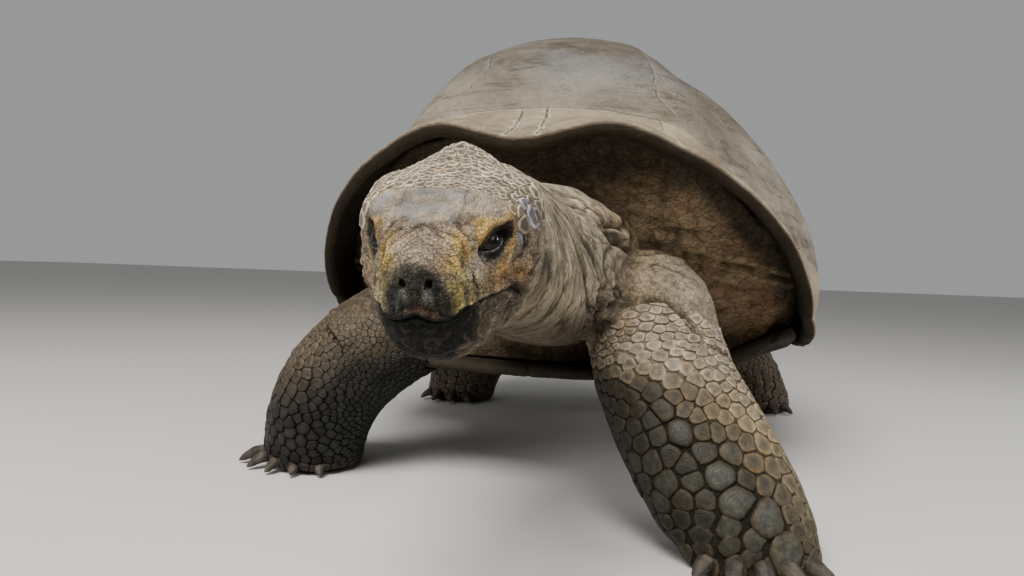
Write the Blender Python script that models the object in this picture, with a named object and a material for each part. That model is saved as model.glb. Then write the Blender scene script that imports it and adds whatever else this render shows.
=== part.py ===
# Giant tortoise, a life-size still model, standing in mid-step with its head stretched forward.
# Metres, +Z up. The head points to -Y, so +X is the animal's left side. While it is being built the
# origin is on the floor under the middle of the shell; the last step moves it under the box's centre.

import math

import bpy
import numpy as np

# ---- driving dimensions ----
shellLength = 1.22           # straight length of the carapace
shellWidth = 0.936           # at the bulge of its sides
outlinePower = 2.33          # 2 would be an ellipse; the shell is a little squarer
crownHeight = 0.778          # top of the shell above the floor
shellWall = 0.016
lipWall = 0.021              # thickness of the free edge
lipRound = 0.006             # how far the free edge is rounded out
plateBulge = 0.006           # swell of each marginal plate beyond the seams beside it
gap = 0.0003                 # between touching pieces
cutGap = 0.00045             # how much a cutter is swollen, a little more where facets meet at an angle
pathSteps = 2                # rings read from each row of the head, neck and limbs
spokes = 48                  # facets round the shell, the plastron and the trunk
outerSteps = (0.20, 0.38, 0.54, 0.68, 0.82, 0.94, 1.08, 1.32, 1.58, 1.80, 2.0)
innerSteps = (1.40, 1.08, 0.84, 0.56, 0.26)   # shared by the shell's inside and the trunk
attachStep = innerSteps[0]                    # where the skin joins the inside of the shell
seamAngles = (2, 20, 38, 56, 74, 90, 105, 120, 135, 151, 167)   # between the marginal plates

# Stations round the shell: degrees from the front, then the value there. Both sides are alike.
rimHeight = ((0, 0.497), (11, 0.518), (20, 0.491), (38, 0.397), (56, 0.262), (74, 0.205),
             (90, 0.195), (112, 0.200), (140, 0.243), (163, 0.232), (180, 0.212))
rimReach = ((0, 1.0), (40, 1.0), (70, 0.95), (90, 0.925), (112, 0.93), (140, 0.985), (180, 1.0))
rimFlare = ((0, 20), (38, 42), (90, 108), (140, 50), (180, 55))
bendReach = ((0, 0.835), (38, 0.86), (65, 0.945), (90, 1.0), (140, 0.90), (180, 0.87))
bendHeight = ((0, 0.580), (20, 0.565), (38, 0.478), (60, 0.373), (90, 0.310), (140, 0.335), (180, 0.335))
bendSlope = ((0, 52), (38, 54), (90, 92), (140, 76), (180, 66))
crownHandle = ((0, 0.37), (50, 0.275), (90, 0.27), (180, 0.29))
bendHandle = ((0, 0.11), (50, 0.14), (90, 0.18), (180, 0.22))

plateFront = 0.182           # underside of the plastron above the floor, in front
plateRear = 0.150            # and behind
plateWall = 0.018
plateDrop = 0.012            # the bridge's outer edge below the shell's edge
plateReach = ((0, 0.500), (22, 0.498), (38, 0.405), (52, 0.345), (66, 0.40), (90, 0.40),
              (114, 0.40), (128, 0.36), (142, 0.375), (160, 0.425), (180, 0.395))
bridgeStart = 62.0           # the plastron is joined to the shell between these two
bridgeEnd = 118.0
bridgeFade = 12.0

skinFoldIn = 0.055           # how far the skin between shell and plastron is drawn in
skinFolds = ((0.20, 0.40), (0.52, 1.0), (0.90, 0.65))   # share of the way down, share of that pull

headPlace = (0.040, -1.035, 0.359)         # between the eyes
headTurn = 5.0                             # degrees to the animal's left
headDip = 18.0                             # degrees down
headSides = 26
# Rows along the head, measured forward from the eyes:
# forward, half width, top, height of the widest line, bottom, squareness above, squareness below
headRows = (
    (-0.138, 0.035, 0.029, -0.008, -0.048, 2.0, 2.0),
    (-0.122, 0.052, 0.053, -0.006, -0.068, 1.5, 2.0),
    (-0.100, 0.064, 0.0595, -0.004, -0.083, 1.45, 2.1),
    (-0.075, 0.070, 0.052, -0.006, -0.090, 1.85, 2.2),
    (-0.050, 0.0725, 0.046, -0.010, -0.093, 2.4, 2.2),
    (-0.022, 0.068, 0.043, -0.016, -0.094, 2.7, 2.2),
    (0.004, 0.0555, 0.036, -0.024, -0.092, 2.7, 2.3),
    (0.026, 0.0430, 0.026, -0.030, -0.086, 2.6, 2.3),
    (0.044, 0.0325, 0.012, -0.034, -0.077, 2.6, 2.3),
    (0.056, 0.0245, 0.000, -0.034, -0.066, 2.4, 2.2),
    (0.063, 0.0130, -0.010, -0.032, -0.051, 2.2, 2.0),
)
# The lower jaw's side view as forward and up from the eyes; its first points are the mouth's line.
mouthLine = (
    (0.085, -0.0430), (0.058, -0.0445), (0.047, -0.0385), (0.028, -0.0345), (0.000, -0.0350),
    (-0.014, -0.0390), (-0.028, -0.0500), (-0.060, -0.1300), (0.085, -0.1300),
)
mouthHalf = 0.11                           # the block that cuts the jaw free reaches past the cheeks
# Soft lumps: forward, sideways and up of the middle, size, height. Brow, eye hollow, cheek.
headLumps = (
    (-0.020, 0.052, 0.026, 0.022, 0.004),
    (0.004, 0.052, -0.002, 0.019, -0.010),
    (-0.045, 0.074, -0.030, 0.026, 0.004),
)
eyePlace = (0.002, 0.0335, 0.001)          # forward, sideways, up
eyeRadius = 0.0150
eyeOutward = (0.51, 0.86)                  # forward and sideways share of where an eye looks
eyeRows = 6
eyeSides = 12

# Rows of the neck, legs and tail: x, y, z, half width, half depth.
limbSides = 14
neckSides = 18
tailSides = 10
limbPower = 2.2
neckPower = 2.1
soleRise = 0.006                           # the rounding of a foot's edge above its flat sole
neckRows = (
    (0.018, -0.300, 0.346, 0.130, 0.120),
    (0.024, -0.420, 0.348, 0.128, 0.124),
    (0.032, -0.560, 0.348, 0.112, 0.112),
    (0.038, -0.700, 0.350, 0.093, 0.095),
    (0.040, -0.820, 0.356, 0.079, 0.081),
    (0.037, -0.912, 0.366, 0.071, 0.073),
    (0.036, -0.970, 0.366, 0.058, 0.056),
)
foreLeftRows = (
    (0.160, -0.330, 0.275, 0.070, 0.070),
    (0.168, -0.440, 0.288, 0.086, 0.082),
    (0.176, -0.520, 0.272, 0.090, 0.082),
    (0.194, -0.560, 0.212, 0.092, 0.074),
    (0.229, -0.592, 0.150, 0.096, 0.072),
    (0.266, -0.618, 0.092, 0.095, 0.070),
    (0.298, -0.636, 0.038, 0.088, 0.070),
    (0.310, -0.642, 0.000, 0.082, 0.064),
)
foreRightRows = (
    (-0.130, -0.330, 0.265, 0.074, 0.072),
    (-0.205, -0.405, 0.250, 0.092, 0.084),
    (-0.275, -0.435, 0.208, 0.096, 0.088),
    (-0.328, -0.440, 0.156, 0.097, 0.087),
    (-0.364, -0.430, 0.100, 0.099, 0.086),
    (-0.384, -0.414, 0.050, 0.098, 0.084),
    (-0.390, -0.404, 0.018, 0.095, 0.082),
    (-0.390, -0.402, 0.000, 0.087, 0.074),
)
hindLeftRows = (
    (0.190, 0.270, 0.215, 0.085, 0.070),
    (0.245, 0.335, 0.195, 0.098, 0.078),
    (0.305, 0.392, 0.158, 0.098, 0.080),
    (0.358, 0.434, 0.108, 0.090, 0.076),
    (0.390, 0.456, 0.055, 0.086, 0.075),
    (0.402, 0.464, 0.018, 0.087, 0.078),
    (0.404, 0.465, 0.000, 0.079, 0.070),
)
hindRightRows = (
    (-0.180, 0.265, 0.215, 0.085, 0.070),
    (-0.232, 0.290, 0.195, 0.098, 0.078),
    (-0.284, 0.305, 0.158, 0.098, 0.080),
    (-0.322, 0.306, 0.108, 0.090, 0.076),
    (-0.342, 0.302, 0.055, 0.086, 0.075),
    (-0.348, 0.300, 0.018, 0.087, 0.078),
    (-0.348, 0.300, 0.000, 0.079, 0.070),
)
tailRows = (
    (0.000, 0.400, 0.255, 0.050, 0.048),
    (0.000, 0.480, 0.240, 0.044, 0.042),
    (0.006, 0.545, 0.190, 0.033, 0.032),
    (0.014, 0.575, 0.130, 0.021, 0.021),
    (0.018, 0.580, 0.085, 0.011, 0.011),
)

# Claws: share of the length beyond the foot, height, half width, half height of each ring.
clawRows = ((-0.40, 0.0215, 0.0115, 0.0105), (0.25, 0.0190, 0.0108, 0.0098),
            (0.76, 0.0108, 0.0066, 0.0060))
clawSides = 6
clawTip = 0.0050             # height of the point
foreClaws = (5, 23, 0.034)   # count, degrees apart, length
hindClaws = (4, 26, 0.030)


# ---- small helpers ----
def along(stations, x):
    # Smooth value at x through the stations, level at both ends.
    xs = [s[0] for s in stations]
    ys = [s[1] for s in stations]
    x = min(max(x, xs[0]), xs[-1])
    k = min(max(int(np.searchsorted(xs, x, side="right")) - 1, 0), len(xs) - 2)

    def slope(i):
        if i in (0, len(xs) - 1):
            return 0.0
        before = (ys[i] - ys[i - 1]) / (xs[i] - xs[i - 1])
        after = (ys[i + 1] - ys[i]) / (xs[i + 1] - xs[i])
        return 0.0 if before * after <= 0 else 2 * before * after / (before + after)

    width = xs[k + 1] - xs[k]
    t = (x - xs[k]) / width
    a, b = slope(k) * width, slope(k + 1) * width
    return ((2 * t**3 - 3 * t**2 + 1) * ys[k] + (t**3 - 2 * t**2 + t) * a
            + (3 * t**2 - 2 * t**3) * ys[k + 1] + (t**3 - t**2) * b)


def ease(x, start, end):
    t = min(max((x - start) / (end - start), 0.0), 1.0)
    return t * t * (3 - 2 * t)


def mix(a, b, t):
    return a + (b - a) * t


def unit(v):
    return v / np.linalg.norm(v)


def vec(*xyz):
    return np.array(xyz, float)


def material(name, colour, roughness):
    m = bpy.data.materials.new(name)
    m.use_nodes = True
    shader = m.node_tree.nodes["Principled BSDF"]
    shader.inputs["Base Color"].default_value = (*colour, 1.0)
    shader.inputs["Roughness"].default_value = roughness
    shader.inputs["Metallic"].default_value = 0.0
    m.diffuse_color = (*colour, 1.0)
    return m


def addObject(name, verts, faces, mat):
    mesh = bpy.data.meshes.new(name)
    mesh.from_pydata([tuple(float(c) for c in v) for v in verts], [], faces)
    mesh.materials.append(mat)
    mesh.update()
    mesh.shade_smooth()
    obj = bpy.data.objects.new(name, mesh)
    bpy.context.scene.collection.objects.link(obj)
    obj.parent = root
    return obj


def ringsToMesh(rings, startPole=None, endPole=None, turned=0):
    # Joins rings of equal count into one closed skin. Each end closes on a pole, or flat without one.
    # Its triangles lean the other way in the first bands, turned of them, to match a neighbour's.
    count = len(rings[0])
    verts = [p for ring in rings for p in ring]
    faces = []
    for k in range(len(rings) - 1):
        for i in range(count):
            j = (i + 1) % count
            a, b, c, d = k * count + i, k * count + j, (k + 1) * count + j, (k + 1) * count + i
            faces += [(a, b, d), (b, c, d)] if k < turned else [(a, b, c), (a, c, d)]
    last = (len(rings) - 1) * count
    if startPole is None:
        faces.append(tuple(reversed(range(count))))
    else:
        verts.append(startPole)
        pole = len(verts) - 1
        faces += [((i + 1) % count, i, pole) for i in range(count)]
    if endPole is None:
        faces.append(tuple(last + i for i in range(count)))
    else:
        verts.append(endPole)
        pole = len(verts) - 1
        faces += [(last + i, last + (i + 1) % count, pole) for i in range(count)]
    return verts, faces


def facingOut(verts, faces):
    # Turns every face round if the solid is inside out.
    volume = 0.0
    for face in faces:
        a = np.array(verts[face[0]], float)
        for b, c in zip(face[1:-1], face[2:]):
            volume += float(np.dot(a, np.cross(verts[b], verts[c])))
    return faces if volume > 0 else [tuple(reversed(f)) for f in faces]


def solid(name, rings, mat, startPole=None, endPole=None, turned=0):
    verts, faces = ringsToMesh(rings, startPole, endPole, turned)
    return addObject(name, verts, facingOut(verts, faces), mat)


def oval(centre, side, up, halfWidth, halfHeight, count, power=2.0):
    # One ring of a limb: a superellipse across the directions side and up.
    ring = []
    for i in range(count):
        a = 2 * math.pi * (i + 0.5) / count
        c, s = math.cos(a), math.sin(a)
        x = math.copysign(abs(c) ** (2 / power), c) * halfWidth
        y = math.copysign(abs(s) ** (2 / power), s) * halfHeight
        ring.append(centre + side * x + up * y)
    return ring


def smoothPath(rows, steps):
    # Reads more rows between the given ones on a Catmull-Rom curve; a row holds a place and sizes.
    rows = [np.array(r, float) for r in rows]
    ends = [2 * rows[0] - rows[1]] + rows + [2 * rows[-1] - rows[-2]]
    out = []
    for k in range(len(rows) - 1):
        p0, p1, p2, p3 = ends[k:k + 4]
        for i in range(steps):
            t = i / steps
            out.append(0.5 * (2 * p1 + (p2 - p0) * t + (2 * p0 - 5 * p1 + 4 * p2 - p3) * t**2
                              + (3 * p1 - p0 - 3 * p2 + p3) * t**3))
    out.append(rows[-1])
    return out


def limbRings(rows, sideHint, count, power, flatEnd=False):
    # Rows of x, y, z, half width, half depth. With flatEnd the last ring lies level.
    path = smoothPath(rows, pathSteps)
    rings = []
    for k, row in enumerate(path):
        ahead = path[min(k + 1, len(path) - 1)][:3] - path[max(k - 1, 0)][:3]
        direction = unit(ahead)
        if flatEnd:
            level = ease(k, len(path) - 1 - 2 * pathSteps, len(path) - 1)
            direction = unit(mix(direction, vec(0, 0, -1), level))
        side = unit(sideHint - direction * float(np.dot(sideHint, direction)))
        up = np.cross(side, direction)
        ring = oval(row[:3], side, up, row[3], row[4], count, power)
        if flatEnd and k < len(path) - 1:
            for p in ring:
                p[2] = max(p[2], soleRise)
        rings.append(ring)
    return rings


def swollen(obj, amount, name):
    # A hidden copy, a little larger all round, used as a cutter.
    mesh = obj.data.copy()
    mesh.update()
    normals = [v.normal.copy() for v in mesh.vertices]
    for v, n in zip(mesh.vertices, normals):
        v.co += n * amount
    cutter = bpy.data.objects.new(name, mesh)
    bpy.context.scene.collection.objects.link(cutter)
    cutter.parent = root
    cutter.hide_render = True
    cutter.display_type = "WIRE"
    return cutter


def cut(obj, *cutters):
    for cutter in cutters:
        modifier = obj.modifiers.new("cut_" + cutter.name, "BOOLEAN")
        modifier.operation = "DIFFERENCE"
        modifier.solver = "EXACT"
        modifier.object = cutter


# ---- shell form ----
def outline(angle):
    # Reach of the shell's plan at an angle from the front, in degrees.
    a = math.radians(angle)
    return ((abs(math.sin(a)) / (shellWidth / 2)) ** outlinePower
            + (abs(math.cos(a)) / (shellLength / 2)) ** outlinePower) ** (-1 / outlinePower)


def folded(angle):
    # The same angle on the left side, 0 to 180.
    return abs((angle + 180) % 360 - 180)


def plateBow(angle):
    # 0 at a seam between marginal plates, 1 in the middle of a plate.
    edges = (-2,) + seamAngles + (193,)
    for low, high in zip(edges, edges[1:]):
        if low <= angle <= high:
            return math.sin(math.pi * (angle - low) / (high - low)) ** 0.7
    return 0.0


def shellSection(angle, s):
    # Outer surface as reach and height. s is 0 at the crown, 1 at the bend, 2 at the free edge.
    a = folded(angle)
    plan = outline(a)
    bow = plateBow(a)
    bend = np.array([plan * along(bendReach, a), along(bendHeight, a)])
    slope = math.radians(along(bendSlope, a))
    if s <= 1:
        p = [np.array([0.0, crownHeight]),
             np.array([along(crownHandle, a), crownHeight]),
             bend - along(bendHandle, a) * np.array([math.cos(slope), -math.sin(slope)]),
             bend]
        t = s
    else:
        edge = np.array([plan * along(rimReach, a) + plateBulge * bow * ease(a, 30, 60),
                         along(rimHeight, a) + lipWall * 0.9])
        flare = math.radians(along(rimFlare, a))
        run = np.linalg.norm(edge - bend)
        p = [bend,
             bend + 0.38 * run * np.array([math.cos(slope), -math.sin(slope)]),
             edge - 0.40 * run * np.array([math.cos(flare), -math.sin(flare)]),
             edge]
        t = s - 1
    return ((1 - t)**3 * p[0] + 3 * (1 - t)**2 * t * p[1] + 3 * (1 - t) * t**2 * p[2] + t**3 * p[3])


def shellPoint(angle, s, depth=0.0):
    # A point of the shell, depth below its outer surface.
    here = shellSection(angle, s)
    step = shellSection(angle, min(s + 0.01, 2)) - shellSection(angle, max(s - 0.01, 0))
    inward = unit(np.array([step[1], -step[0]]))
    reach, height = here + inward * depth
    a = math.radians(angle)
    return vec(reach * math.sin(a), -reach * math.cos(a), height)


def spokeAngles():
    return [360 * i / spokes for i in range(spokes)]


def makeCarapace():
    rings = [[shellPoint(a, s) for a in spokeAngles()] for s in outerSteps]
    lip = []
    for a in spokeAngles():
        outer, inner = shellPoint(a, 2.0), shellPoint(a, 2.0, lipWall)
        lip.append(mix(outer, inner, 0.5) + unit(outer - shellPoint(a, 1.9)) * lipRound)
    rings.append(lip)
    rings.append([shellPoint(a, 1.97, lipWall) for a in spokeAngles()])
    rings.append([shellPoint(a, 1.70, mix(shellWall, lipWall, 0.6)) for a in spokeAngles()])
    rings += [[shellPoint(a, s, shellWall) for a in spokeAngles()] for s in innerSteps]
    return solid("carapace", rings, horn, vec(0, 0, crownHeight), vec(0, 0, crownHeight - shellWall))


def bridging(angle):
    # 1 where the plastron rises to meet the sides of the shell, 0 under the openings.
    a = folded(angle)
    return ease(a, bridgeStart - bridgeFade, bridgeStart) * (1 - ease(a, bridgeEnd, bridgeEnd + bridgeFade))


def plateBase(y):
    return mix(plateFront, plateRear, ease(y, -shellLength * 0.41, shellLength * 0.10))


def plateEdge(angle):
    # Reach and height of the plastron's edge at its underside.
    a = folded(angle)
    lobe = along(plateReach, a)
    sill = shellSection(angle, 1.94)
    wall = sill[0] - lipWall - 0.004
    t = bridging(angle)
    y = -lobe * math.cos(math.radians(a))
    return mix(lobe, wall, t), mix(plateBase(y), sill[1] - plateDrop, t)


def platePoint(angle, t, rise):
    # t is 0 in the middle of the plastron and 1 at its edge; rise is height above its underside.
    reach, edge = plateEdge(angle)
    a = math.radians(angle)
    r = reach * t
    y = -r * math.cos(a)
    height = mix(plateBase(y), edge, ease(t, 0.66, 1.02) * bridging(angle))
    return vec(r * math.sin(a), y, height + rise)


def makePlastron():
    lower = [[platePoint(a, t, 0.0) for a in spokeAngles()] for t in (0.40, 0.70, 0.88, 0.985)]
    edge = [[platePoint(a, 1.0, plateWall * 0.5) for a in spokeAngles()]]
    upper = [[platePoint(a, t, plateWall) for a in spokeAngles()] for t in (0.985, 0.90, 0.66, 0.34)]
    middle = plateBase(0.0)
    return solid("plastron", lower + edge + upper, horn,
                 vec(0, 0, middle), vec(0, 0, middle + plateWall))


def makeTrunk():
    # Fills the shell. Its skin hangs from inside the shell's edge down to the plastron.
    clear = shellWall + gap
    rings = [[shellPoint(a, s, clear) for a in spokeAngles()] for s in reversed(innerSteps)]
    for share, pull in skinFolds:
        ring = []
        for a in spokeAngles():
            top = shellPoint(a, attachStep, clear + 0.002)
            foot = platePoint(a, 0.90, plateWall + gap)
            inward = unit(vec(-top[0], -top[1], 0)) * skinFoldIn * pull * (1 - bridging(a))
            ring.append(mix(top, foot, share) + inward)
        rings.append(ring)
    for t in (0.90, 0.66, 0.34):
        rings.append([platePoint(a, t, plateWall + gap) for a in spokeAngles()])
    return solid("trunk", rings, hide, vec(0, 0, crownHeight - clear),
                 vec(0, 0, plateBase(0.0) + plateWall + gap), turned=len(innerSteps) - 1)


# ---- head ----
def headFrame():
    turn, dip = math.radians(headTurn), math.radians(headDip)
    forward = vec(math.sin(turn) * math.cos(dip), -math.cos(turn) * math.cos(dip), -math.sin(dip))
    left = vec(math.cos(turn), math.sin(turn), 0)
    return forward, left, np.cross(forward, left)


def headPoint(forward, side, up):
    f, l, u = headFrame()
    return vec(*headPlace) + f * forward + l * side + u * up


def headRing(row):
    forward, half, top, middle, bottom, above, below = row
    ring = []
    for i in range(headSides):
        a = 2 * math.pi * (i + 0.5) / headSides
        c, s = math.cos(a), math.sin(a)
        power = above if s > 0 else below
        x = math.copysign(abs(c) ** (2 / power), c) * half
        z = abs(s) ** (2 / power) * ((top - middle) if s > 0 else (bottom - middle))
        ring.append(headDetail(forward, x, middle + z))
    return ring


def headDetail(forward, x, z):
    # The plain loft's point moved by the soft lumps.
    out = 0.0
    for f0, x0, z0, size, height in headLumps:
        far = ((forward - f0) ** 2 + (abs(x) - x0) ** 2 + (z - z0) ** 2) / size ** 2
        out += height * math.exp(-far)
    scale = 1 + out / max(math.hypot(x, z), 0.02)
    return headPoint(forward, x * scale, z * (1 + 0.4 * (scale - 1)))


def mouthShape(extra):
    # The lower jaw's block, seen from the side; extra grows it for the upper head's cut.
    centre = np.mean(np.array(mouthLine), axis=0)
    points = []
    for k, p in enumerate(mouthLine):
        before = np.array(mouthLine[k - 1])
        after = np.array(mouthLine[(k + 1) % len(mouthLine)])
        run = unit(after - before)
        normal = np.array([-run[1], run[0]])
        if float(np.dot(normal, np.array(p) - centre)) < 0:
            normal = -normal
        points.append(np.array(p) + normal * extra)
    return points


def mouthBlock(name, extra):
    rings = [[headPoint(p[0], x, p[1]) for p in mouthShape(extra)] for x in (-mouthHalf, mouthHalf)]
    block = solid(name, rings, hide)
    block.hide_render = True
    block.display_type = "WIRE"
    return block


def makeEye(name, side):
    f, l, u = headFrame()
    centre = headPoint(eyePlace[0], side * eyePlace[1], eyePlace[2])
    outward = unit(f * eyeOutward[0] + l * side * eyeOutward[1])
    across = np.cross(u, outward)
    rings = []
    for k in range(1, eyeRows):
        a = math.pi * k / eyeRows
        rings.append(oval(centre - outward * math.cos(a) * eyeRadius, across, u,
                          math.sin(a) * eyeRadius, math.sin(a) * eyeRadius, eyeSides))
    return solid(name, rings, eyeDark, centre - outward * eyeRadius, centre + outward * eyeRadius)


def makeHead():
    rings = [headRing(row) for row in smoothPath(headRows, pathSteps)]
    back = headPoint(headRows[0][0] - 0.006, 0, -0.006)
    front = headPoint(headRows[-1][0] + 0.001, 0, -0.033)
    head = solid("head", rings, hide, back, front)
    jaw = solid("lower_jaw", rings, beakHorn, back, front)
    cut(head, mouthBlock("mouth_cut", gap))
    keep = jaw.modifiers.new("keep_jaw", "BOOLEAN")
    keep.operation = "INTERSECT"
    keep.object = mouthBlock("mouth_keep", 0.0)
    whole = swollen(head, cutGap, "head_space")
    eyes = [makeEye("eye_left", 1), makeEye("eye_right", -1)]
    for eye in eyes:
        socket = swollen(eye, cutGap, "socket_" + eye.name)
        cut(head, socket)
    return head, jaw, whole


# ---- neck, legs, tail ----
def makeLimb(name, rows, sideHint, cutters):
    limb = solid(name, limbRings(rows, sideHint, limbSides, limbPower, True), hide)
    cut(limb, *cutters)
    return limb


def makeClaws(limb, footRow, heading, claws):
    # Short blunt cones round the front of a foot; heading is where the foot points, in degrees.
    count, spread, length = claws
    foot = vec(footRow[0], footRow[1], 0)
    for k in range(count):
        turn = math.radians(heading + spread * (k - (count - 1) / 2))
        outward = vec(math.sin(turn), -math.cos(turn), 0)
        side = vec(math.cos(turn), math.sin(turn), 0)
        reach = 1 / math.hypot(outward[0] / footRow[3], outward[1] / footRow[4])
        rings = []
        for share, height, wide, tall in clawRows:
            place = foot + outward * (reach + share * length) + vec(0, 0, height)
            rings.append(oval(place, side, vec(0, 0, 1), wide, tall, clawSides))
        tip = foot + outward * (reach + length) + vec(0, 0, clawTip)
        claw = solid(f"claw_{limb.name}_{k + 1}", rings, clawHorn, None, tip)
        cut(claw, swollen(limb, cutGap, f"space_{limb.name}_{k + 1}"))


def tidyScene():
    for obj in list(bpy.data.objects):
        bpy.data.objects.remove(obj, do_unlink=True)


def settle():
    # Moves everything so that the origin is on the floor under the centre of the model's box.
    bpy.context.view_layer.update()
    graph = bpy.context.evaluated_depsgraph_get()
    low, high = np.full(3, 1e9), np.full(3, -1e9)
    for obj in bpy.data.objects:
        if obj.type == "MESH" and not obj.hide_render:
            mesh = obj.evaluated_get(graph).to_mesh()
            points = np.array([v.co for v in mesh.vertices])
            low, high = np.minimum(low, points.min(0)), np.maximum(high, points.max(0))
    middle = (low + high) / 2
    root.location = (-middle[0], -middle[1], -low[2])
    print("moved by", root.location[:])


tidyScene()
root = bpy.data.objects.new("tortoise", None)
bpy.context.scene.collection.objects.link(root)
horn = material("shell_horn", (0.27, 0.23, 0.18), 0.62)
hide = material("grey_brown_skin", (0.19, 0.15, 0.11), 0.75)
eyeDark = material("dark_eye", (0.012, 0.010, 0.009), 0.08)
clawHorn = material("claw_horn", (0.12, 0.10, 0.08), 0.5)
beakHorn = material("beak_horn", (0.11, 0.095, 0.075), 0.55)

carapace = makeCarapace()
plastron = makePlastron()
trunk = makeTrunk()
trunkSpace = swollen(trunk, cutGap, "trunk_space")
plateSpace = swollen(plastron, cutGap, "plastron_space")
shellSpace = swollen(carapace, cutGap, "carapace_space")
bodySpaces = (trunkSpace, plateSpace, shellSpace)

left = vec(1, 0, 0)
foreLeft = makeLimb("foreleg_left", foreLeftRows, vec(0.93, 0.35, 0), bodySpaces)
foreRight = makeLimb("foreleg_right", foreRightRows, vec(0.55, -0.83, 0), bodySpaces)
hindLeft = makeLimb("hindleg_left", hindLeftRows, left, bodySpaces)
hindRight = makeLimb("hindleg_right", hindRightRows, left, bodySpaces)
tail = solid("tail", limbRings(tailRows, left, tailSides, 2.0), hide)
cut(tail, *bodySpaces)

head, jaw, headSpace = makeHead()
neck = solid("neck", limbRings(neckRows, left, neckSides, neckPower), hide)
foreLeftSpace = swollen(foreLeft, cutGap, "foreleg_left_space")
foreRightSpace = swollen(foreRight, cutGap, "foreleg_right_space")
cut(neck, *bodySpaces, headSpace, foreLeftSpace, foreRightSpace)

makeClaws(foreLeft, foreLeftRows[-2], 14, foreClaws)
makeClaws(foreRight, foreRightRows[-2], -14, foreClaws)
makeClaws(hindLeft, hindLeftRows[-2], 12, hindClaws)
makeClaws(hindRight, hindRightRows[-2], -12, hindClaws)
settle()
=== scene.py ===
# Giant tortoise: the looks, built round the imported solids. Metres, +Z up, head towards -Y.
import math
from contextlib import contextmanager

import bmesh
import bpy
import numpy as np
from mathutils import Matrix, Vector
from mathutils.bvhtree import BVHTree
from mathutils.geometry import delaunay_2d_cdt
from mathutils.kdtree import KDTree


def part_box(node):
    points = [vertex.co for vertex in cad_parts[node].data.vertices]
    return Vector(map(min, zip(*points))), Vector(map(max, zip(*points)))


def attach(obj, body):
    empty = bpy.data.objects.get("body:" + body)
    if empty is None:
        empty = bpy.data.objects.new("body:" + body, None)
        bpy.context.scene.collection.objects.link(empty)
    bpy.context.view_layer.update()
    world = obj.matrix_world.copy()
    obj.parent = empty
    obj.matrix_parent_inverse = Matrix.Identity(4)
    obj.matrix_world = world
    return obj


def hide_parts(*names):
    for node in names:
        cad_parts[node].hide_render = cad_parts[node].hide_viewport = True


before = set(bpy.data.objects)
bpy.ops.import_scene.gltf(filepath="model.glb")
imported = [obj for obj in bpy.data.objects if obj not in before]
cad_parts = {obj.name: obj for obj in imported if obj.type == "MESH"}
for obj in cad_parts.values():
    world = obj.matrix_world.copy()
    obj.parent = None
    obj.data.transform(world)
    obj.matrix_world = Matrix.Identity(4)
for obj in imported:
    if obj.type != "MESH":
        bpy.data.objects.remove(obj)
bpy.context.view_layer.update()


# ---- places read from the solids ----
def boxOf(solid):
    low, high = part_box(solid)
    return np.array(low), np.array(high)


def middleOf(solid):
    return sum(boxOf(solid)) / 2


shellMid = middleOf("carapace") * [1, 1, 0] - [0, 0.002, 0]      # on the floor under the shell's own centre
eyeMid = (middleOf("eye_left") + middleOf("eye_right")) / 2
headDip = math.radians(18)
headLeft = middleOf("eye_left") - middleOf("eye_right")
headLeft = headLeft / np.linalg.norm(headLeft)
headTurn = math.atan2(headLeft[1], headLeft[0])
headForward = np.array([math.sin(headTurn) * math.cos(headDip), -math.cos(headTurn) * math.cos(headDip),
                        -math.sin(headDip)])
headUp = np.cross(headForward, headLeft)
headMid = eyeMid - 0.002 * headForward - 0.001 * headUp
eyePlace = np.array([0.002, 0.0335, 0.001])
eyeRadius = float((boxOf("eye_left")[1] - boxOf("eye_left")[0]).max()) / 2


def inHead(points):
    # The same points as forward, left and up of the place between the eyes.
    return (points - headMid) @ columns(headForward, headLeft, headUp)


# ---- camera, light and floor ----
cameraLook = {"offset": (0.2249, -1.5604, 0.3386), "turn": 13.448, "dip": 1.328, "roll": 1.989, "lens": 26.0}
studio = {"sky": (0.85, 0.86, 0.87), "skyStrength": 0.4, "floor": (0.5, 0.49, 0.465)}


def placeCamera(look):
    turn, dip, roll = (math.radians(look[k]) for k in ("turn", "dip", "roll"))
    ahead = Vector((-math.sin(turn) * math.cos(dip), math.cos(turn) * math.cos(dip), -math.sin(dip)))
    side = Vector((math.cos(turn), math.sin(turn), 0))
    rise = side.cross(ahead)
    right = side * math.cos(roll) + rise * math.sin(roll)
    up = rise * math.cos(roll) - side * math.sin(roll)
    data = bpy.data.cameras.new("camera")
    data.lens = look["lens"]
    data.sensor_width = 36.0
    data.clip_start = 0.02
    camera = bpy.data.objects.new("camera", data)
    place = Vector(shellMid) + Vector(look["offset"])
    camera.matrix_world = Matrix((right, up, -ahead)).transposed().to_4x4()
    camera.location = place
    bpy.context.scene.collection.objects.link(camera)
    bpy.context.scene.camera = camera


def addLamp(name, place, target, size, power, colour):
    data = bpy.data.lights.new(name, "AREA")
    data.shape = "RECTANGLE"
    data.size, data.size_y = size
    data.energy = power
    data.color = colour
    lamp = bpy.data.objects.new(name, data)
    lamp.location = place
    lamp.rotation_euler = (Vector(target) - Vector(place)).to_track_quat("-Z", "Y").to_euler()
    bpy.context.scene.collection.objects.link(lamp)


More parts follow.
